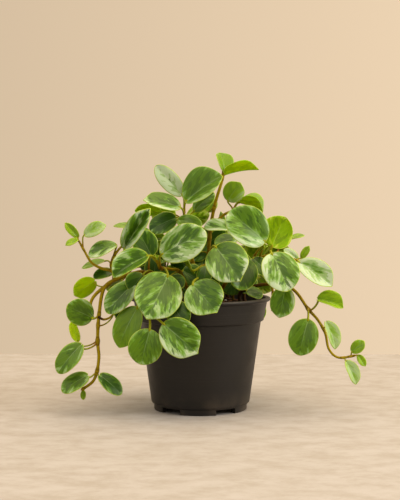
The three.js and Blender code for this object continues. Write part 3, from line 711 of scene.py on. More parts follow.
class Leaf:
    """One leaf: where its blade starts and ends, which way its upper face looks, and its form.
    The look is in degrees, as look_direction takes them, or for a bud the direction itself."""

    def __init__(self, row, seed):
        self.station, base, tip, self.width, look, tone, *form = row
        form += USUAL_FORM[len(form):]
        self.arch, fold, self.side_bias, self.tip_bias, sharp = form
        self.fold = math.radians(fold)
        self.start = np.array(base, float)
        along = np.array(tip, float) - self.start
        self.length = np.linalg.norm(along)
        self.along = along / self.length
        face = look_direction(*look) if len(look) == 2 else look
        face = face - self.along * (face @ self.along)
        self.face = face / np.linalg.norm(face)
        self.across = np.cross(self.along, self.face)
        self.tone = TONES[tone]
        self.tip_point = TIP_POINT + SHARP_TIP_POINT * max(sharp, YOUNG_TIP_POINT * self.tone[0])
        self.random = random.Random(seed)
        self.seed = self.random.random()

    def half_width(self, share):
        def bulge(place):
            return place ** BASE_ROUNDNESS * (1 - place) ** TIP_ROUNDNESS
        narrowing = np.clip((share - TIP_POINT_START) / (1 - TIP_POINT_START), 0, 1)
        pointed = np.clip(1 - share, 1e-6, 1) ** (self.tip_point * narrowing ** 2)
        half = self.width * 0.5 * bulge(share) / bulge(WIDEST_PLACE) * pointed
        return np.maximum(half, BLADE_BASE_HALF_WIDTH * (1 - share))

    def beside_midrib(self, offset, reach, reach_of_width):
        """From 1 on the midrib down to 0 beside it."""
        return np.exp(-(offset / (reach_of_width * self.width + reach)) ** 2)

    def middle(self, share, side):
        """A point of the blade's middle surface: share from base to tip, side from -1 to 1."""
        half = self.half_width(share)
        lobe = BASE_LOBE * side ** 2 * (1 - share) ** 2
        bend = np.sqrt(side ** 2 + FOLD_SOFTNESS) - FOLD_DROP
        rise = half * (bend * math.sin(self.fold) - MARGIN_CURL * side ** 4)
        wave = EDGE_WAVE * self.width * side ** 2 * np.sin(
            math.tau * (share * self.waves + self.phase + EDGE_WAVE_SLANT * side))
        arch = 4 * self.arch * self.length * share * (1 - share)
        spread = side * half * math.cos(self.fold)
        return (self.start + self.along * (self.length * (share - lobe))[..., None]
                + self.across * spread[..., None] + self.face * (rise + arch + wave)[..., None])

    def blade(self, growth):
        """The blade is a closed skin: a grid above and one below, joined round the margin."""
        self.waves = self.random.uniform(*EDGE_WAVE_COUNTS)
        self.phase = self.random.random()
        rows = BLADE_LEAST_ROWS + int(self.width * BLADE_ROWS_OF_WIDTH)
        columns = BLADE_LEAST_COLUMNS + 2 * int(self.width * BLADE_SIDE_COLUMNS_OF_WIDTH)
        shares = 0.5 - 0.5 * np.cos(math.pi * np.linspace(0, 1, rows))
        sides = np.sin(math.pi / 2 * np.linspace(-1, 1, columns))
        share, side = np.meshgrid(shares, sides, indexing="ij")
        middle = self.middle(share, side)
        normal = np.cross(np.gradient(middle, axis=1), np.gradient(middle, axis=0))
        normal /= np.maximum(np.linalg.norm(normal, axis=2), 1e-9)[..., None]
        normal[0], normal[-1] = normal[1], normal[-2]
        normal[:, 0], normal[:, -1] = normal[:, 1], normal[:, -2]
        thick = BLADE_THICKNESS + BLADE_THICKNESS_OF_WIDTH * self.width
        round_off = np.sqrt(np.clip(1 - np.abs(side) ** MARGIN_ROUNDNESS, 0, 1))
        round_off *= np.sqrt(np.clip(1 - np.abs(2 * share - 1) ** (3 * MARGIN_ROUNDNESS), 0, 1))
        half = self.half_width(share)
        offset = np.abs(side) * half
        fading = np.clip(1 - share, 0, 1) ** 0.7
        groove = MIDRIB_GROOVE * fading * self.beside_midrib(offset, *GROOVE_REACH)
        ridge = MIDRIB_RIDGE * fading ** 1.5 * self.beside_midrib(offset, *RIDGE_REACH)
        above = middle + normal * (round_off * (thick / 2 - groove))[..., None]
        below = middle - normal * (round_off * (thick / 2 + ridge))[..., None]
        to_end = self.length * np.minimum(1 - share, share + BASE_RIM)
        rim = np.minimum(half * (1 - np.abs(side)), to_end)
        size = np.full(share.shape, self.length / LARGE_LEAF_LENGTH)
        place = np.stack([side * half / self.length + 0.5, share, rim / 10, size], axis=2)

        grid = np.arange(rows * columns).reshape(rows, columns)
        under = grid.copy()
        inner = (rows - 2) * (columns - 2)
        under[1:-1, 1:-1] = rows * columns + np.arange(inner).reshape(rows - 2, columns - 2)
        upper_faces = quads(grid).tolist()
        under_faces = quads(under)[:, [0, 3, 2, 1]].tolist()
        points = np.concatenate([above.reshape(-1, 3), below[1:-1, 1:-1].reshape(-1, 3)])
        places = np.concatenate([place.reshape(-1, 4), place[1:-1, 1:-1].reshape(-1, 4)])
        youth, cream, dark = self.tone
        finishes = [0] * len(upper_faces) + [1] * len(under_faces)
        growth.add(points, upper_faces + under_faces, finishes, leaf_place=places,
                   leaf_tone=(youth, cream, dark, self.seed),
                   leaf_bias=(0.5 + 0.5 * self.side_bias, 0.5 + 0.5 * self.tip_bias, 0, 1))

    def stalk(self, growth, root, hangs):
        """The stalk leaves the stem upwards and turns until it points along the blade. On a shoot
        that hangs down it sags first, and comes up to the blade from below."""
        way = self.start - root
        reach = np.linalg.norm(way)
        rise = np.array((0, 0, min(STALK_RISE_OF_REACH * reach, STALK_MOST_RISE)))
        before = self.start - self.along * min(STALK_PULL * reach, STALK_MOST_PULL)
        if hangs and way[2] > -STALK_MOST_PULL:
            rise = -STALK_SAG * rise
            before = self.start + STALK_LIFT * rise
        inside = self.start + self.along * STALK_INSIDE_BLADE * self.length
        ends = (root, root + way * STALK_PULL + rise, before, inside)
        wanted = self.width * STALK_RADIUS_OF_WIDTH
        radius = min(max(wanted, STALK_LEAST_RADIUS), STALK_MOST_RADIUS)
        shares = np.linspace(0, 1, STALK_STEPS)
        centres = np.array([bezier(ends, t) for t in shares])
        widths = radius * (1 + STALK_FLARE * np.exp(-(shares / STALK_FLARE_REACH) ** 2)
                           - STALK_WAIST * np.sin(math.pi * shares))
        widths[-1] = radius * STALK_END
        rings = np.exp(-(shares / STALK_RING_REACH) ** 2)
        rod(growth, centres, widths, STALK_SIDES, (0, 1), 1, rings)


def stem_skin():
    """Brown where it is old and olive where it is young, with painted shade low on the main stems,
    fine streaks and pale pores.
    """
    finish = Finish("stem_skin", {
        "Roughness": 0.48, "Specular IOR Level": 0.15, "Specular Tint": (1, 0.9, 0.4, 1),
        "Subsurface Weight": 0.12, "Subsurface Radius": (0.8, 1, 0.3), "Subsurface Scale": 0.001})
    age, along, turn = finish.parts(finish.painted("skin"))
    ring = finish.painted("skin", "Alpha")
    is_stalk = finish.painted("stalk", "Fac")
    place = finish.place()
    mottle = finish.grain(place, 260, 4, 0.6)
    drawn_out = finish.joined(finish.times(turn, 9), finish.times(along, 14), 0)
    streaks = finish.grain(drawn_out, 1, 3)
    pores = finish.between(finish.cells(place, 1100), 0.2, 0.1)
    stem = finish.layered(
        (86, 51, 5),
        (finish.between(finish.line(mottle, 0.35, age), 0.3, 0.95), (152, 134, 14)),
        # Painted shade: each main stem is darkened from the soil up, where the leaves above shade
        # it.
        (finish.between(age, 0.45, 0.12), (40, 24, 11)),
        (finish.between(streaks, 0.5, 0.75, 0, 0.45), (76, 46, 10)))
    stalk = finish.layered(
        (146, 98, 26), (finish.between(finish.line(mottle, 0.3, age), 0.1, 0.7), (142, 148, 26)))
    finish.set("Base Color", finish.layered(
        stem,
        (is_stalk, stalk),
        (finish.times(ring, 0.6), (62, 34, 12)),
        (finish.times(pores, 0.2), (170, 140, 50))))
    mottled = finish.relief(mottle, 0.2, strength=0.6)
    finish.set("Normal", finish.relief(streaks, 0.25, mottled, strength=0.6))
    return finish.owner


# The colours of a blade's upper and under face: deep green, green, light green, grey-green, pale
# green, cream, the green of a young leaf, and the rim
UPPER_COLOURS = ((32, 70, 4), (66, 104, 7), (90, 134, 26), (110, 150, 72), (140, 170, 110),
                 (176, 196, 162), (132, 170, 2), (158, 180, 50))
# The under face's colours are its own paler green, brightened with painted light that shines
# through the blade, the young green most of all.
UNDER_COLOURS = ((66, 100, 3), (98, 136, 3), (118, 152, 6), (136, 162, 34), (164, 182, 74),
                 (186, 198, 112), (180, 214, 3), (172, 190, 62))
BROAD_STREAKS = (2.4, 2, 0, 2)
MAIN_STREAKS = (4.4, 3.2, 11, 2.4)
FINE_STREAKS = (12, 7, 17, 2)
DARK_PATCHES = (4.2, 3.2, 23, 2.4)
HAIR_STREAKS = (44, 12, 31, 3)


def leaf_green(name, upper):
    """Waxy green with streaks of grey-green and cream that run out along the side veins."""
    finish = Finish(name, {
        "Roughness": 0.55,
        "Specular IOR Level": 0.38 if upper else 0.12,
        "Specular Tint": (0.92, 1, 0.78, 1) if upper else (0.9, 1, 0.3, 1),
        "Subsurface Weight": 0.15 if upper else 0.5,
        "Subsurface Radius": (0.55, 1, 0.12),
        "Subsurface Scale": 0.0014})
    across, share, rim = finish.parts(finish.painted("leaf_place"))
    size = finish.painted("leaf_place", "Alpha")
    youth, cream, dark = finish.parts(finish.painted("leaf_tone"))
    seed = finish.painted("leaf_tone", "Alpha")
    side_bias, tip_bias, _ = finish.parts(finish.painted("leaf_bias"))
    across = finish.sum("SUBTRACT", across, 0.5)
    offset = finish.sum("ABSOLUTE", across)
    bend = finish.times(finish.line(offset, 1.5, 1.8), offset)
    vein = finish.sum("SUBTRACT", share, bend)
    page = finish.line(finish.sum("SIGN", across), 3.7, finish.times(seed, 91))
    vein_place = finish.times(vein, size)
    share_place = finish.times(share, size)

    def streaks(tight, long, layer, detail):
        """Noise drawn out along the side veins, about zero, and new on each half of each leaf."""
        place = finish.joined(finish.times(vein_place, tight), finish.times(share_place, long),
                              finish.plus(page, layer))
        return finish.sum("SUBTRACT", finish.grain(place, 1, detail, 0.6), 0.5)

    broad, main = streaks(*BROAD_STREAKS), streaks(*MAIN_STREAKS)
    fine, patches, hair = streaks(*FINE_STREAKS), streaks(*DARK_PATCHES), streaks(*HAIR_STREAKS)
    tilt = finish.times(finish.line(side_bias, 2, -1), finish.times(across, 0.7))
    lean = finish.times(finish.line(tip_bias, 2, -1), finish.line(share, 0.5, -0.25))
    margin = finish.between(rim, 0.75, 0, -0.08, 0.2)
    fine_share = finish.times(fine, size)
    paleness = finish.plus(
        finish.times(broad, 0.95), finish.times(main, 1.1), finish.times(fine_share, 0.18),
        finish.line(cream, 0.8, -0.42), tilt, lean, margin)
    darkness = finish.plus(
        finish.times(patches, 1.2), finish.times(broad, -0.3), finish.times(fine_share, -0.2),
        finish.line(dark, 0.5, -0.3), finish.times(offset, -0.25), finish.times(margin, -0.7))

    wave = finish.sum("PINGPONG", finish.times(vein, 3.5), 0.5)
    veins = finish.between(wave, 0.05, 0, 0, 0.12)
    midrib = finish.between(offset, 0.018, 0.004, 0, 0.35)
    colours = UPPER_COLOURS if upper else UNDER_COLOURS
    deep, green, light, grey, pale, white, young, rim_colour = colours
    finish.set("Base Color", finish.layered(
        green,
        (finish.between(paleness, -0.08, -0.02), light),
        (finish.between(paleness, 0.02, 0.05), grey),
        (finish.between(paleness, 0.1, 0.13), pale),
        (finish.between(paleness, 0.24, 0.32), white),
        (finish.between(darkness, -0.01, 0.04, 0, 0.8), deep),
        (youth, finish.layered(young, (finish.between(main, -0.1, 0.15, 0, 0.45), green))),
        (veins, pale),
        (finish.times(midrib, finish.between(share, 0.95, 0.3)), pale),
        (finish.between(rim, 0.085, 0.03, 0, 0.9), rim_colour)))
    if upper:
        finish.set("Roughness", finish.between(hair, -0.2, 0.2, 0.3, 0.42))
    skin = finish.relief(finish.grain(finish.place(), 1500, 2), 0.05, strength=0.3)
    skin = finish.relief(finish.plus(fine, finish.times(hair, 0.4)), 0.14, skin, strength=0.35)
    finish.set("Normal", finish.relief(finish.times(veins, -3), 0.15, skin, strength=0.5))
    return finish.owner


skin_finish = stem_skin()
blade_finishes = [leaf_green("leaf_upper_face", True), leaf_green("leaf_under_face", False)]


def rooted(x, y, *bends):
    """A main shoot stands straight in its hole in the soil before it bends."""
    return [*[(x, y, z) for z in ROOT_HEIGHTS], *bends]


def bud(growth, corners, seed):
    """Each shoot ends in two leaflets that are still folded together."""
    end = corners[-1]
    ahead = end - catmull_rom(corners, len(corners) - 1 - HANG_REACH)
    ahead /= np.linalg.norm(ahead)
    side = np.cross(ahead, (0.3, 0.2, 0.9))
    side /= np.linalg.norm(side)
    for way in (-1, 1):
        tip = end + (BUD_AHEAD * ahead + BUD_SIDEWAYS * way * side) * BUD_LENGTH
        row = (0, end, tip, BUD_WIDTH, -way * side, "young", BUD_ARCH, BUD_FOLD)
        Leaf(row, seed + way).blade(growth)


def leafy_stem(name, seed, *shoots, in_cad=True):
    """Grows one stem, whose CAD node has its name, from shoots: a path, its end radii and leaves.
    A leaf is its station on the path, the blade's base and tip, width, look, tone and form."""
    wood, leaves = Growth(), Growth()
    for number, (path, radii, *rows) in enumerate(shoots):
        corners = np.array(path, float)
        shoot_seed = seed * 1000 + number * 100
        stations = sorted({row[0] for row in rows})
        start_age = 0 if path[0][2] < SOIL_EDGE_Z else SIDE_SHOOT_AGE
        stem_rod(wood, corners, radii, stations, (start_age, 1))
        if max(stations, default=0) < len(corners) - 1 - BUD_ROOM:
            bud(leaves, corners, shoot_seed + 50)
        for count, row in enumerate(rows):
            leaf = Leaf(row, shoot_seed + count)
            after = catmull_rom(corners, leaf.station + HANG_REACH)
            ahead = after - catmull_rom(corners, leaf.station - HANG_REACH)
            hangs = ahead[2] < HANG_SLOPE * np.linalg.norm(ahead)
            leaf.stalk(wood, catmull_rom(corners, leaf.station), hangs)
            leaf.blade(leaves)
    nodes = [name] if in_cad else []
    belongs(wood.piece(name + "_wood", [skin_finish]), "stem_skin", *nodes)
    belongs(leaves.piece(name + "_leaves", blade_finishes), "foliage", *nodes)


leafy_stem("stem_left", 1, (
    rooted(-12, -6, (-22, -8, 107), (-34, -12, 114), (-51, -15, 118), (-69, -19, 113),
        (-81, -22, 105), (-85, -26, 83), (-86, -29, 62), (-85, -30, 46), (-89, -30, 29),
        (-100, -30, 20)), (2, 1.2),
    (5.6, (-55, -37, 110), (-77, -43, 86), 23, (-15, 25), "streaked", 0.06, 12, -0.8, 0.2),
    (5, (-52, -45, 90), (-67, -47, 58), 25, (-25, 10), "olive", 0.06, 10, 0.5),
    (8, (-91, -28, 81), (-111, -35, 91), 23, (-20, 20), "plain", 0.06, 8),
    (8.4, (-73, -23, 86), (-65, -14, 72), 14, (60, 20), "dark"),
    (9, (-103, -26, 61), (-109, -14, 77), 9, (205, 20), "fresh", 0.05, 12),
    (9.1, (-99, -36, 59), (-118, -40, 36), 20, (-10, 30), "plain", 0.06, 12, -0.5),
    (10.5, (-94, -34, 33), (-115, -38, 20), 18, (-5, 43), "plain", 0.06),
    (10.6, (-84, -32, 33), (-66, -34, 17), 15, (15, 35), "dark", 0.06, 10, 0.5),
    (11.9, (-98, -30, 20), (-98, -31, 12), 5, (0, 10), "young", 0.05, 15),
    (4.6, (-44, -18, 153), (-73, -22, 157), 20, (0, 78), "olive", 0.04, 12),
    (4.3, (-48, -34, 117), (-58, -40, 104), 20, (0, 20), "dark"),
), (
    [(-75, -20, 110), (-87, -22, 101), (-92, -24, 93), (-91, -26, 84)], (1.6, 1.1),
    (0.3, (-89, -20, 111), (-106, -24, 99), 17, (170, 25), "fresh", 0.06),
), (
    [(-73, -19, 112), (-74, -20, 119), (-84, -21, 122), (-92, -21, 127), (-98, -20, 137),
        (-103, -20, 146)], (1.5, 0.8),
    (5, (-103, -19, 148), (-114, -20, 160), 8, (0, 10), "young", 0.08, 20),
    (5, (-103, -21, 146), (-113, -24, 141), 7, (0, 40), "young", 0.05, 15),
    (4.2, (-97, -22, 150), (-79, -24, 158), 14, (10, 35), "soft", 0.06, 14, 0.6),
    (1.1, (-74, -13, 118), (-91, -12, 114), 14, (0, 50), "dark"),
), (
    [(-74, -20, 119), (-75, -20, 125), (-73, -22, 131), (-69, -25, 137),
        (-65, -33, 141)], (1.4, 0.9),
    (4, (-62, -37, 140), (-41, -42, 172.5), 27, (-12, 0), "cream", 0.04, 53, 0.4, -0.2, 0.8),
    (2, (-71, -25, 141.5), (-93, -29, 131.5), 20, (0, 57), "streaked", 0.06, 14, -0.4),
    (0.9, (-82, -10, 127), (-101, -9, 121), 18, (0, 74), "olive", 0.04, 8),
), (
    [(-85.4, -28, 81.5), (-81, -30, 79.5), (-76, -32, 81), (-73, -33, 84)], (1.1, 0.8),
))


# Front left stem: a short fleshy stem, rooted a little in front of the pot's axis. It holds large
# blades above the front of the rim.
leafy_stem("stem_front_left", 2, (
    rooted(-10, -17, (-17, -20, 118), (-24, -24, 121), (-34, -30, 122)), (1.8, 1.2),
    (5, (-31, -46, 135), (5, -52, 152), 32, (5, 25), "cream", 0.06, 8, 0.2, 0.2),
    (5, (-41, -33, 133), (-52, -28, 153), 22, (10, 15), "dark", 0.05, 10, 0, 0.6),
    (4.9, (-44, -46, 133), (-71, -54, 116), 29, (-23, 31), "streaked", 0.05, 38, 0.6, 0.5, 0.5),
    (4.8, (-27, -46, 116), (-43, -72, 84), 39, (10, 25), "streaked", 0.07, 8, -0.4, 0.4, 0.8),
    (3, (-25, -30, 114), (-14, -38, 107), 15, (0, 20), "dark"),
), (
    [(-34, -30, 122), (-35, -33, 125), (-36, -37, 128), (-36, -39, 130)], (1.1, 0.7),
))


# Rim stem: a thin fleshy stem, rooted in the front left of the soil. It leans out over the rim,
# and a pair of its blades hangs against the pot.
leafy_stem("stem_rim", 3, (
    rooted(-24, -24, (-30, -34, 103), (-36, -46, 102), (-40, -56, 95), (-41, -61, 85)), (1.6, 1),
    (6, (-41, -64, 74), (-48, -68, 47), 28, (0, 12), "plain", 0.05, 8),
    (6, (-29, -66, 79), (-2, -73, 56.5), 31, (-12, 20), "cream", 0.06, 12, 0.9, 0.6, 1),
    (4.6, (-24, -57, 96), (-12, -65, 78), 20, (10, 5), "dark", 0.05, 8),
))


# Front middle stem: an upright fleshy stem, rooted a little in front of the pot's axis. Its blades
# lean out over the front of the rim.
leafy_stem("stem_front_middle", 4, (
    rooted(3, -14, (4, -20, 112), (5, -26, 124), (8, -30, 135)), (1.7, 1),
    (5, (13, -47, 140), (32, -68, 114), 35, (-10, 25), "streaked", 0.07, 10, 0.2, 0.7, 0.8),
    (3, (-6, -57, 110), (13, -71, 89), 33, (0, 15), "streaked", 0.06, 10, 0.3, 0.3, 1),
    (4, (-7, -37, 121), (-19, -24, 132), 26, (180, 50), "plain"),
    (4.4, (36, -36, 131), (31, -51, 106), 27, (20, 25), "dark", 0.05, 10, 0, 0.5),
    (5, (30, -20, 147), (12, -28, 142), 15, (0, 45), "dark"),
    (3.6, (5, -33, 124), (3, -42, 110), 15, (-20, 20), "dark"),
))


# Upper left stem: an upright fleshy stem, rooted in the middle of the soil. The whorl of blades
# round its end is the upper left of the plant.
leafy_stem("stem_upper_left", 5, (
    rooted(-4, 2, (-6, -1, 122), (-11, -5, 147), (-14, -8, 168)), (1.9, 1.3),
    (5, (-16, -9, 184), (-38, -12, 208), 17, (-15, 20), "white", 0.05, 14, 0.4, 0.3),
    (5, (-11.5, -14, 178.5), (18.5, -18, 199), 38, (5, 45), "plain", 0.05, 29, 0.4, -0.3),
    (4.8, (-18, -17, 173), (-48, -22, 179), 23, (0, 50), "streaked", 0.05, 16, -1, 0, 1),
    (4.6, (-34, -4, 169), (-56, -6, 170), 15, (170, 40), "fresh", 0.04, 12),
    (4.5, (-5, -1, 170), (12, -4, 185), 16, (0, 40), "plain"),
    (4.2, (-19, -14, 162), (1, -20, 157), 16, (5, 40), "plain"),
    (4.2, (-21, -10, 164), (-43, -10, 153), 20, (0, 30), "dark"),
    (3.1, (-15, -5, 128), (-36, -5, 124), 23, (280, 65), "streaked", 0.06),
    (3.6, (-14, 4, 144), (-33, 6, 146), 22, (240, 65), "cream", 0.06),
))


# Crown stem: the tallest, rooted in the middle of the soil, with a branch to the right. The thin
# young blades at its top are still folded.
leafy_stem("stem_crown", 6, (
    rooted(7, 5, (7, 5, 125), (8, 5, 149), (11, 5, 169), (14, 5, 181), (18, 5, 194),
        (20, 5, 205)), (1.9, 1.2),
    (8, (21, 5, 203), (16, 12, 220), 21, (36, 0), "fresh", 0.05, 30, 0, 0, 1),
    (7.4, (21, 4, 201), (50, 0, 205), 22, (180, 80), "young", 0.05, 50),
    (5.2, (7, 12, 169), (11, 16, 181), 12, (0, 10), "fresh"),
    (3.3, (-3, 8, 134), (-25, 9, 133), 17, (200, 75), "streaked", 0.06),
    (3.1, (15, 3, 129), (35, -1, 124), 23, (60, 60), "cream", 0.06),
    (3.9, (11, 12, 152), (28, 15, 157), 22, (140, 65), "streaked", 0.06),
    (4.2, (27, -10, 155), (3, -12, 155), 20, (0, 55), "cream", 0.04, 24, 0, 0.3),
), (
    [(9, 5, 159), (15, 4, 162), (21, 3, 167), (28, 0, 170)], (1.5, 1),
    (3, (23.5, -2, 179), (34, -4, 194), 19, (10, 20), "fresh", 0.05, 12, 0.8, -1, 0.6),
    (3, (34, 0, 177), (53, -6, 168.5), 28, (0, 83), "lime", 0.05, 56, -0.6),
))


# Right stem: a fleshy stem, rooted to the right of the pot's axis. It grows in an arch over the
# rim, with glossy blades that face the light.
leafy_stem("stem_right", 7, (
    rooted(17, -8, (21, -11, 108), (30, -14, 119), (41, -19, 127), (58, -25, 133), (69, -28, 132),
        (80, -30, 129)), (1.9, 1.1),
    (5.2, (52.5, -38, 145.5), (22.5, -40, 168.5), 35, (-3, 29), "dusty", 0.07, 12, -0.6),
    (6, (59, -42, 134), (71, -56, 105), 32, (5, 30), "cream", 0.07, 12, 0.8, 0.1),
    (6, (60, -26, 141), (71, -17, 165), 29, (175, 25), "plain", 0.06, 12),
    (6.4, (78, -4, 146), (89, 0, 149), 13, (10, 80), "fresh", 0.04),
    (8, (81, -26, 129), (70, -22, 138), 9, (0, 30), "pale", 0.05, 14),
    (8, (84, -30, 131), (90.5, -32, 141), 6.5, (0, 20), "young", 0.05, 14),
    (8, (82, -34, 127), (108, -44, 108), 25, (10, 30), "milky", 0.05, 28, 0.3, 0, 0.5),
    (5.4, (44, -27, 130), (57, -36, 116), 18, (20, 40), "dark"),
), (
    [(50, -22, 130), (50, -26, 133), (51, -30, 136), (52, -32, 138)], (1.1, 0.7),
))


# Right trailing stem: a long thin stem, rooted in the right of the soil. It grows over the rim and
# far out to the right, with small soft blades at its end.
leafy_stem("stem_right_trailing", 8, (
    rooted(34, -8, (46, -12, 106), (59, -15, 108), (72, -20, 107), (81, -23, 101), (90, -26, 88),
        (98, -29, 79), (104, -31, 68), (107, -32, 55), (115, -33, 48),
        (130, -34, 50)), (1.7, 0.9),
    (5, (70, -36, 106), (65, -42, 82), 21, (0, 15), "plain", 0.05, 10, -0.8, 0.5, 0.5),
    (7, (89, -36, 79.2), (81, -42, 51), 25, (-5, 18), "plain", 0.06, 8, -0.5),
    (7.1, (98, -27, 96), (119, -30, 89), 23, (10, 43), "young", 0.05, 41),
    (8.6, (104, -37, 78), (111, -42, 56), 17, (30, 15), "soft", 0.05, 35),
    (11.3, (121, -35, 45), (129, -37, 26), 15, (30, 10), "soft", 0.05, 34),
    (11.7, (126, -35, 53), (136, -36, 62), 11, (-10, 20), "fresh", 0.05, 12),
    (12, (131, -34, 50), (137, -36, 41), 7, (0, 20), "young", 0.05, 14),
    (2.4, (39, -23, 103), (52, -24, 98), 16, (10, 60), "dark", 0.04, 8),
))


# Side stems: two short fleshy ones, rooted in the left and in the right of the soil. They lean out
# over the rim towards the back.
leafy_stem("stem_left_side", 9, (
    rooted(-32, 2, (-38, 6, 112), (-48, 12, 120), (-58, 18, 120), (-66, 22, 112)), (1.6, 1),
    (6, (-70, 27, 110), (-78, 42, 98), 22, (235, 35), "cream", 0.06),
    (5, (-60, 8, 128), (-66, 2, 146), 20, (280, 30), "streaked"),
    (4, (-46, 22, 130), (-58, 38, 132), 22, (225, 50), "plain", 0.05, 12),
    (3.4, (-46, 2, 112), (-58, 0, 103), 18, (275, 40), "dark"),
))
leafy_stem("stem_right_side", 10, (
    rooted(38, 8, (44, 12, 110), (52, 18, 118), (60, 26, 114), (64, 36, 100),
        (65, 42, 84)), (1.6, 1),
    (4, (58, 8, 128), (74, -2, 140), 22, (75, 45), "streaked"),
    (5, (70, 28, 116), (80, 40, 104), 22, (110, 35), "cream", 0.06),
    (6.3, (70, 45, 98), (72, 55, 82), 16, (125, 15), "plain", 0.06),
))


# Rear trailing stems: three long fleshy ones, rooted in the back of the soil. They grow over the
# rim and hang down behind the pot.
leafy_stem("stem_rear_left", 11, (
    rooted(-22, 14, (-28, 24, 112), (-36, 38, 120), (-40, 52, 116), (-40, 63, 100), (-37, 68, 82),
        (-35, 70, 62)), (1.8, 1),
    (3.4, (-32, 16, 128), (-42, 2, 141), 24, (250, 60), "streaked", 0.06),
    (4.4, (-50, 48, 126), (-72, 58, 118), 26, (235, 45), "cream", 0.07),
    (4.3, (-25, 50, 113), (-13, 66, 102), 24, (185, 30), "dark", 0.06),
    (5.4, (-47, 66, 104), (-50, 84, 82), 24, (205, 25), "cream", 0.06, 10, 0.5),
    (6.6, (-46, 74, 78), (-54, 80, 56), 22, (215, 15), "plain", 0.06),
    (7.6, (-28, 77, 66), (-22, 82, 44), 20, (185, 10), "streaked"),
    (8, (-38, 74, 58), (-46, 76, 36), 18, (200, 15), "fresh", 0.05, 12),
))
leafy_stem("stem_rear_middle", 12, (
    rooted(0, 22, (2, 34, 116), (2, 50, 126), (0, 66, 122), (-2, 76, 106), (-2, 80, 86),
        (-1, 81, 66), (0, 82, 48)), (1.9, 1),
    (3.5, (-10, 46, 132), (-32, 58, 136), 26, (200, 50), "streaked", 0.06),
    (4.5, (12, 62, 134), (32, 76, 124), 27, (165, 45), "cream", 0.07),
    (5.5, (-13, 78, 116), (-34, 90, 98), 28, (190, 35), "streaked", 0.07, 10, 0.5),
    (6.3, (12, 84, 100), (28, 94, 76), 27, (170, 20), "plain", 0.06, 8),
    (7.2, (-12, 88, 78), (-26, 95, 54), 25, (190, 15), "cream", 0.06),
    (8.1, (10, 88, 62), (24, 94, 40), 22, (172, 15), "fresh", 0.06),
    (9, (0, 86, 46), (-4, 90, 22), 20, (180, 10), "fresh", 0.05, 12),
))
leafy_stem("stem_rear_right", 13, (
    rooted(24, 16, (30, 26, 112), (40, 42, 121), (45, 56, 116), (45, 64, 101), (42, 69, 83),
        (38, 71, 64)), (1.8, 1),
    (3.4, (42, 22, 128), (58, 12, 140), 24, (110, 60), "plain", 0.06),
    (4.4, (54, 48, 127), (74, 56, 120), 26, (130, 45), "streaked", 0.07),
    (4.3, (30, 56, 112), (21, 70, 99), 24, (175, 30), "dark", 0.06),
    (5.3, (52, 67, 110), (60, 82, 92), 25, (150, 25), "cream", 0.06),
    (6.2, (48, 74, 88), (50, 82, 64), 24, (165, 15), "streaked", 0.06, 10, -0.5),
    (7.4, (32, 76, 74), (26, 83, 52), 22, (180, 10), "plain"),
    (8, (40, 75, 60), (46, 78, 38), 18, (160, 15), "fresh", 0.05, 12),
))


# Rear crown stems: two upright fleshy ones, rooted behind the pot's axis. Their blades fill the
# back of the crown.
leafy_stem("stem_rear_crown_left", 14, (
    rooted(-10, 14, (-12, 20, 125), (-16, 27, 148), (-20, 33, 160)), (1.7, 1.1),
    (5, (-24, 42, 158), (-44, 52, 170), 27, (205, 30), "streaked", 0.06),
    (5, (-13, 45, 160), (8, 56, 166), 26, (172, 30), "cream", 0.06),
    (4.3, (-31, 40, 146), (-55, 48, 140), 26, (225, 35), "plain", 0.06),
    (3.8, (-9, 44, 152), (2, 60, 137), 25, (185, 35), "streaked", 0.06),
    (3.2, (-24, 33, 133), (-36, 47, 127), 22, (210, 40), "dark", 0.06),
))
leafy_stem("stem_rear_crown_right", 15, (
    rooted(14, 18, (18, 24, 125), (26, 30, 145), (32, 34, 156)), (1.7, 1.1),
    (5, (37, 43, 157), (55, 50, 166), 26, (150, 30), "cream", 0.06),
    (4.8, (23, 44, 153), (17, 60, 161), 26, (185, 30), "streaked", 0.06),
    (4.3, (43, 36, 145), (64, 38, 148), 25, (120, 35), "plain", 0.06),
    (3.7, (34, 40, 138), (44, 58, 132), 25, (155, 45), "cream", 0.06),
))


# Inner shoots: five short fleshy ones, rooted in the shade between the long stems. They close the
# gaps of the crown with blades of the darkest green, which is partly painted shade.
leafy_stem("inner_shoots", 16, (
    rooted(-22, 4, (-24, 4, 112), (-34, 4, 122)), (1.4, 0.9),
    (4, (-36, 2, 128), (-50, 0, 118), 22, (0, 30), "dark"),
    (4, (-44, 6, 130), (-64, 6, 125), 20, (0, 40), "dark"),
    (3.6, (-28, 10, 126), (-30, 14, 146), 20, (10, 20), "dark"),
), (
    rooted(-18, -13, (-18, -13, 110), (-16, -13, 117)), (1.4, 0.9),
    (4, (-15, -12, 119), (-1, -12, 111), 21, (0, 25), "dark"),
    (4, (-19, -10, 119), (-32, -12, 107), 20, (-5, 20), "dark"),
    (3.2, (-14, -8, 106), (-2, -6, 99), 18, (0, 30), "dark"),
), (
    rooted(-2, 12, (-1, 13, 120), (0, 13, 136)), (1.4, 0.9),
    (4, (6, 12, 139), (-12, 10, 131), 22, (0, 20), "dark"),
    (4, (3, 13, 139), (22, 12, 152), 23, (0, 15), "dark"),
    (3.6, (1, 10, 128), (-26, 9, 123), 20, (0, 20), "dark"),
    (3.4, (2, 12, 127), (14, 8, 106), 20, (5, 20), "dark"),
), (
    rooted(28, 3, (30, 3, 106), (32, 3, 112)), (1.4, 0.9),
    (4, (30, 1, 112), (21, -1, 99), 20, (0, 15), "dark"),
    (4, (35, 1, 112), (45, -1, 101), 20, (10, 20), "dark"),
    (4, (33, 5, 115), (36, 9, 134), 20, (0, 15), "dark"),
), (
    rooted(-34, -6, (-38, -8, 108), (-42, -10, 113)), (1.4, 0.9),
    (4, (-43, -12, 113), (-55, -16, 101), 20, (-10, 20), "dark"),
    (3.6, (-40, -6, 113), (-38, -2, 130), 18, (0, 10), "dark"),
), in_cad=False)


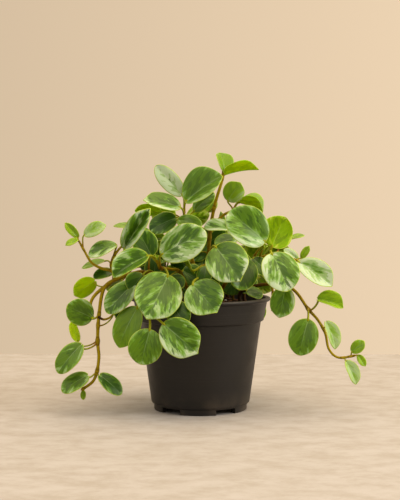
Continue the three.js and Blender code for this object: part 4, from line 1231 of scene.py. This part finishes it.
# Floor: a pale beige table top. It ends a little behind the plant, as in the photograph, and a
# plain warm surround of the same tone takes the place of the wall.
TABLE_BACK = 348
TABLE_FRONT = -1500
TABLE_SIDE = 2500


def pale_stone():
    finish = Finish("pale_table", {"Roughness": 0.75, "Specular IOR Level": 0.3})
    place = finish.place()
    veins = finish.grain(finish.scaled(place, (34, 52, 34)), 1, 8, 0.72)
    pits = finish.grain(place, 160, 4, 0.7)
    finish.set("Base Color", finish.layered(
        (169, 166, 162),
        (finish.between(veins, 0.35, 0.68), (155, 150, 142)),
        (finish.between(pits, 0.6, 0.78, 0, 0.3), (138, 126, 108))))
    finish.set("Normal", finish.relief(pits, 0.4, strength=0.4))
    return finish.owner


table_top = bmesh.new()
table_corners = [(-TABLE_SIDE, TABLE_FRONT), (TABLE_SIDE, TABLE_FRONT), (TABLE_SIDE, TABLE_BACK),
                 (-TABLE_SIDE, TABLE_BACK)]
table_top.faces.new([table_top.verts.new(metres((x, y, 0))) for x, y in table_corners])
floor = piece_from(table_top, "floor")
floor.data.materials.append(pale_stone())


# Light: one large soft window light from the upper left in front, a smaller one from the right,
# and the glow of the room, which is brighter above, behind and on the right.
ROOM_LEFT = 0.4
ROOM_RIGHT = 1.68
ROOM_FRONT = 0.45
ROOM_ABOVE = 4.6


def soft_light(name, place, aim, size, power, colour):
    data = bpy.data.lights.new(name, "AREA")
    data.shape = "DISK"
    data.size = size / 1000
    data.energy = power
    data.color = colour
    light = placed(name, data)
    light.location = metres(place)
    direction = metres(aim) - metres(place)
    light.rotation_euler = direction.to_track_quat("-Z", "Y").to_euler()


soft_light("window_light", (-1000, -1000, 1500), aim=(0, 0, 90), size=3000, power=19.5,
           colour=(0.97, 0.98, 1))
soft_light("right_fill", (1500, -520, 800), aim=(0, 0, 70), size=900, power=20,
           colour=(1, 0.98, 0.96))
room = Finish("room", {"Color": paint(222, 198, 167)}, bpy.data.worlds, "Background")
sideways, onwards, upwards = room.parts(room.node("ShaderNodeTexCoord", "Generated", {}))
behind = room.between(onwards, -0.2, 0.6, ROOM_FRONT, 1, "LINEAR")
above = room.between(upwards, 0.55, 1, ROOM_FRONT, ROOM_ABOVE, "LINEAR")
right = room.between(sideways, -1, 1, ROOM_LEFT, ROOM_RIGHT, "LINEAR")
room.set("Strength", room.times(room.sum("MAXIMUM", behind, above), right))
bpy.context.scene.world = room.owner
bpy.context.scene.view_settings.view_transform = "Standard"
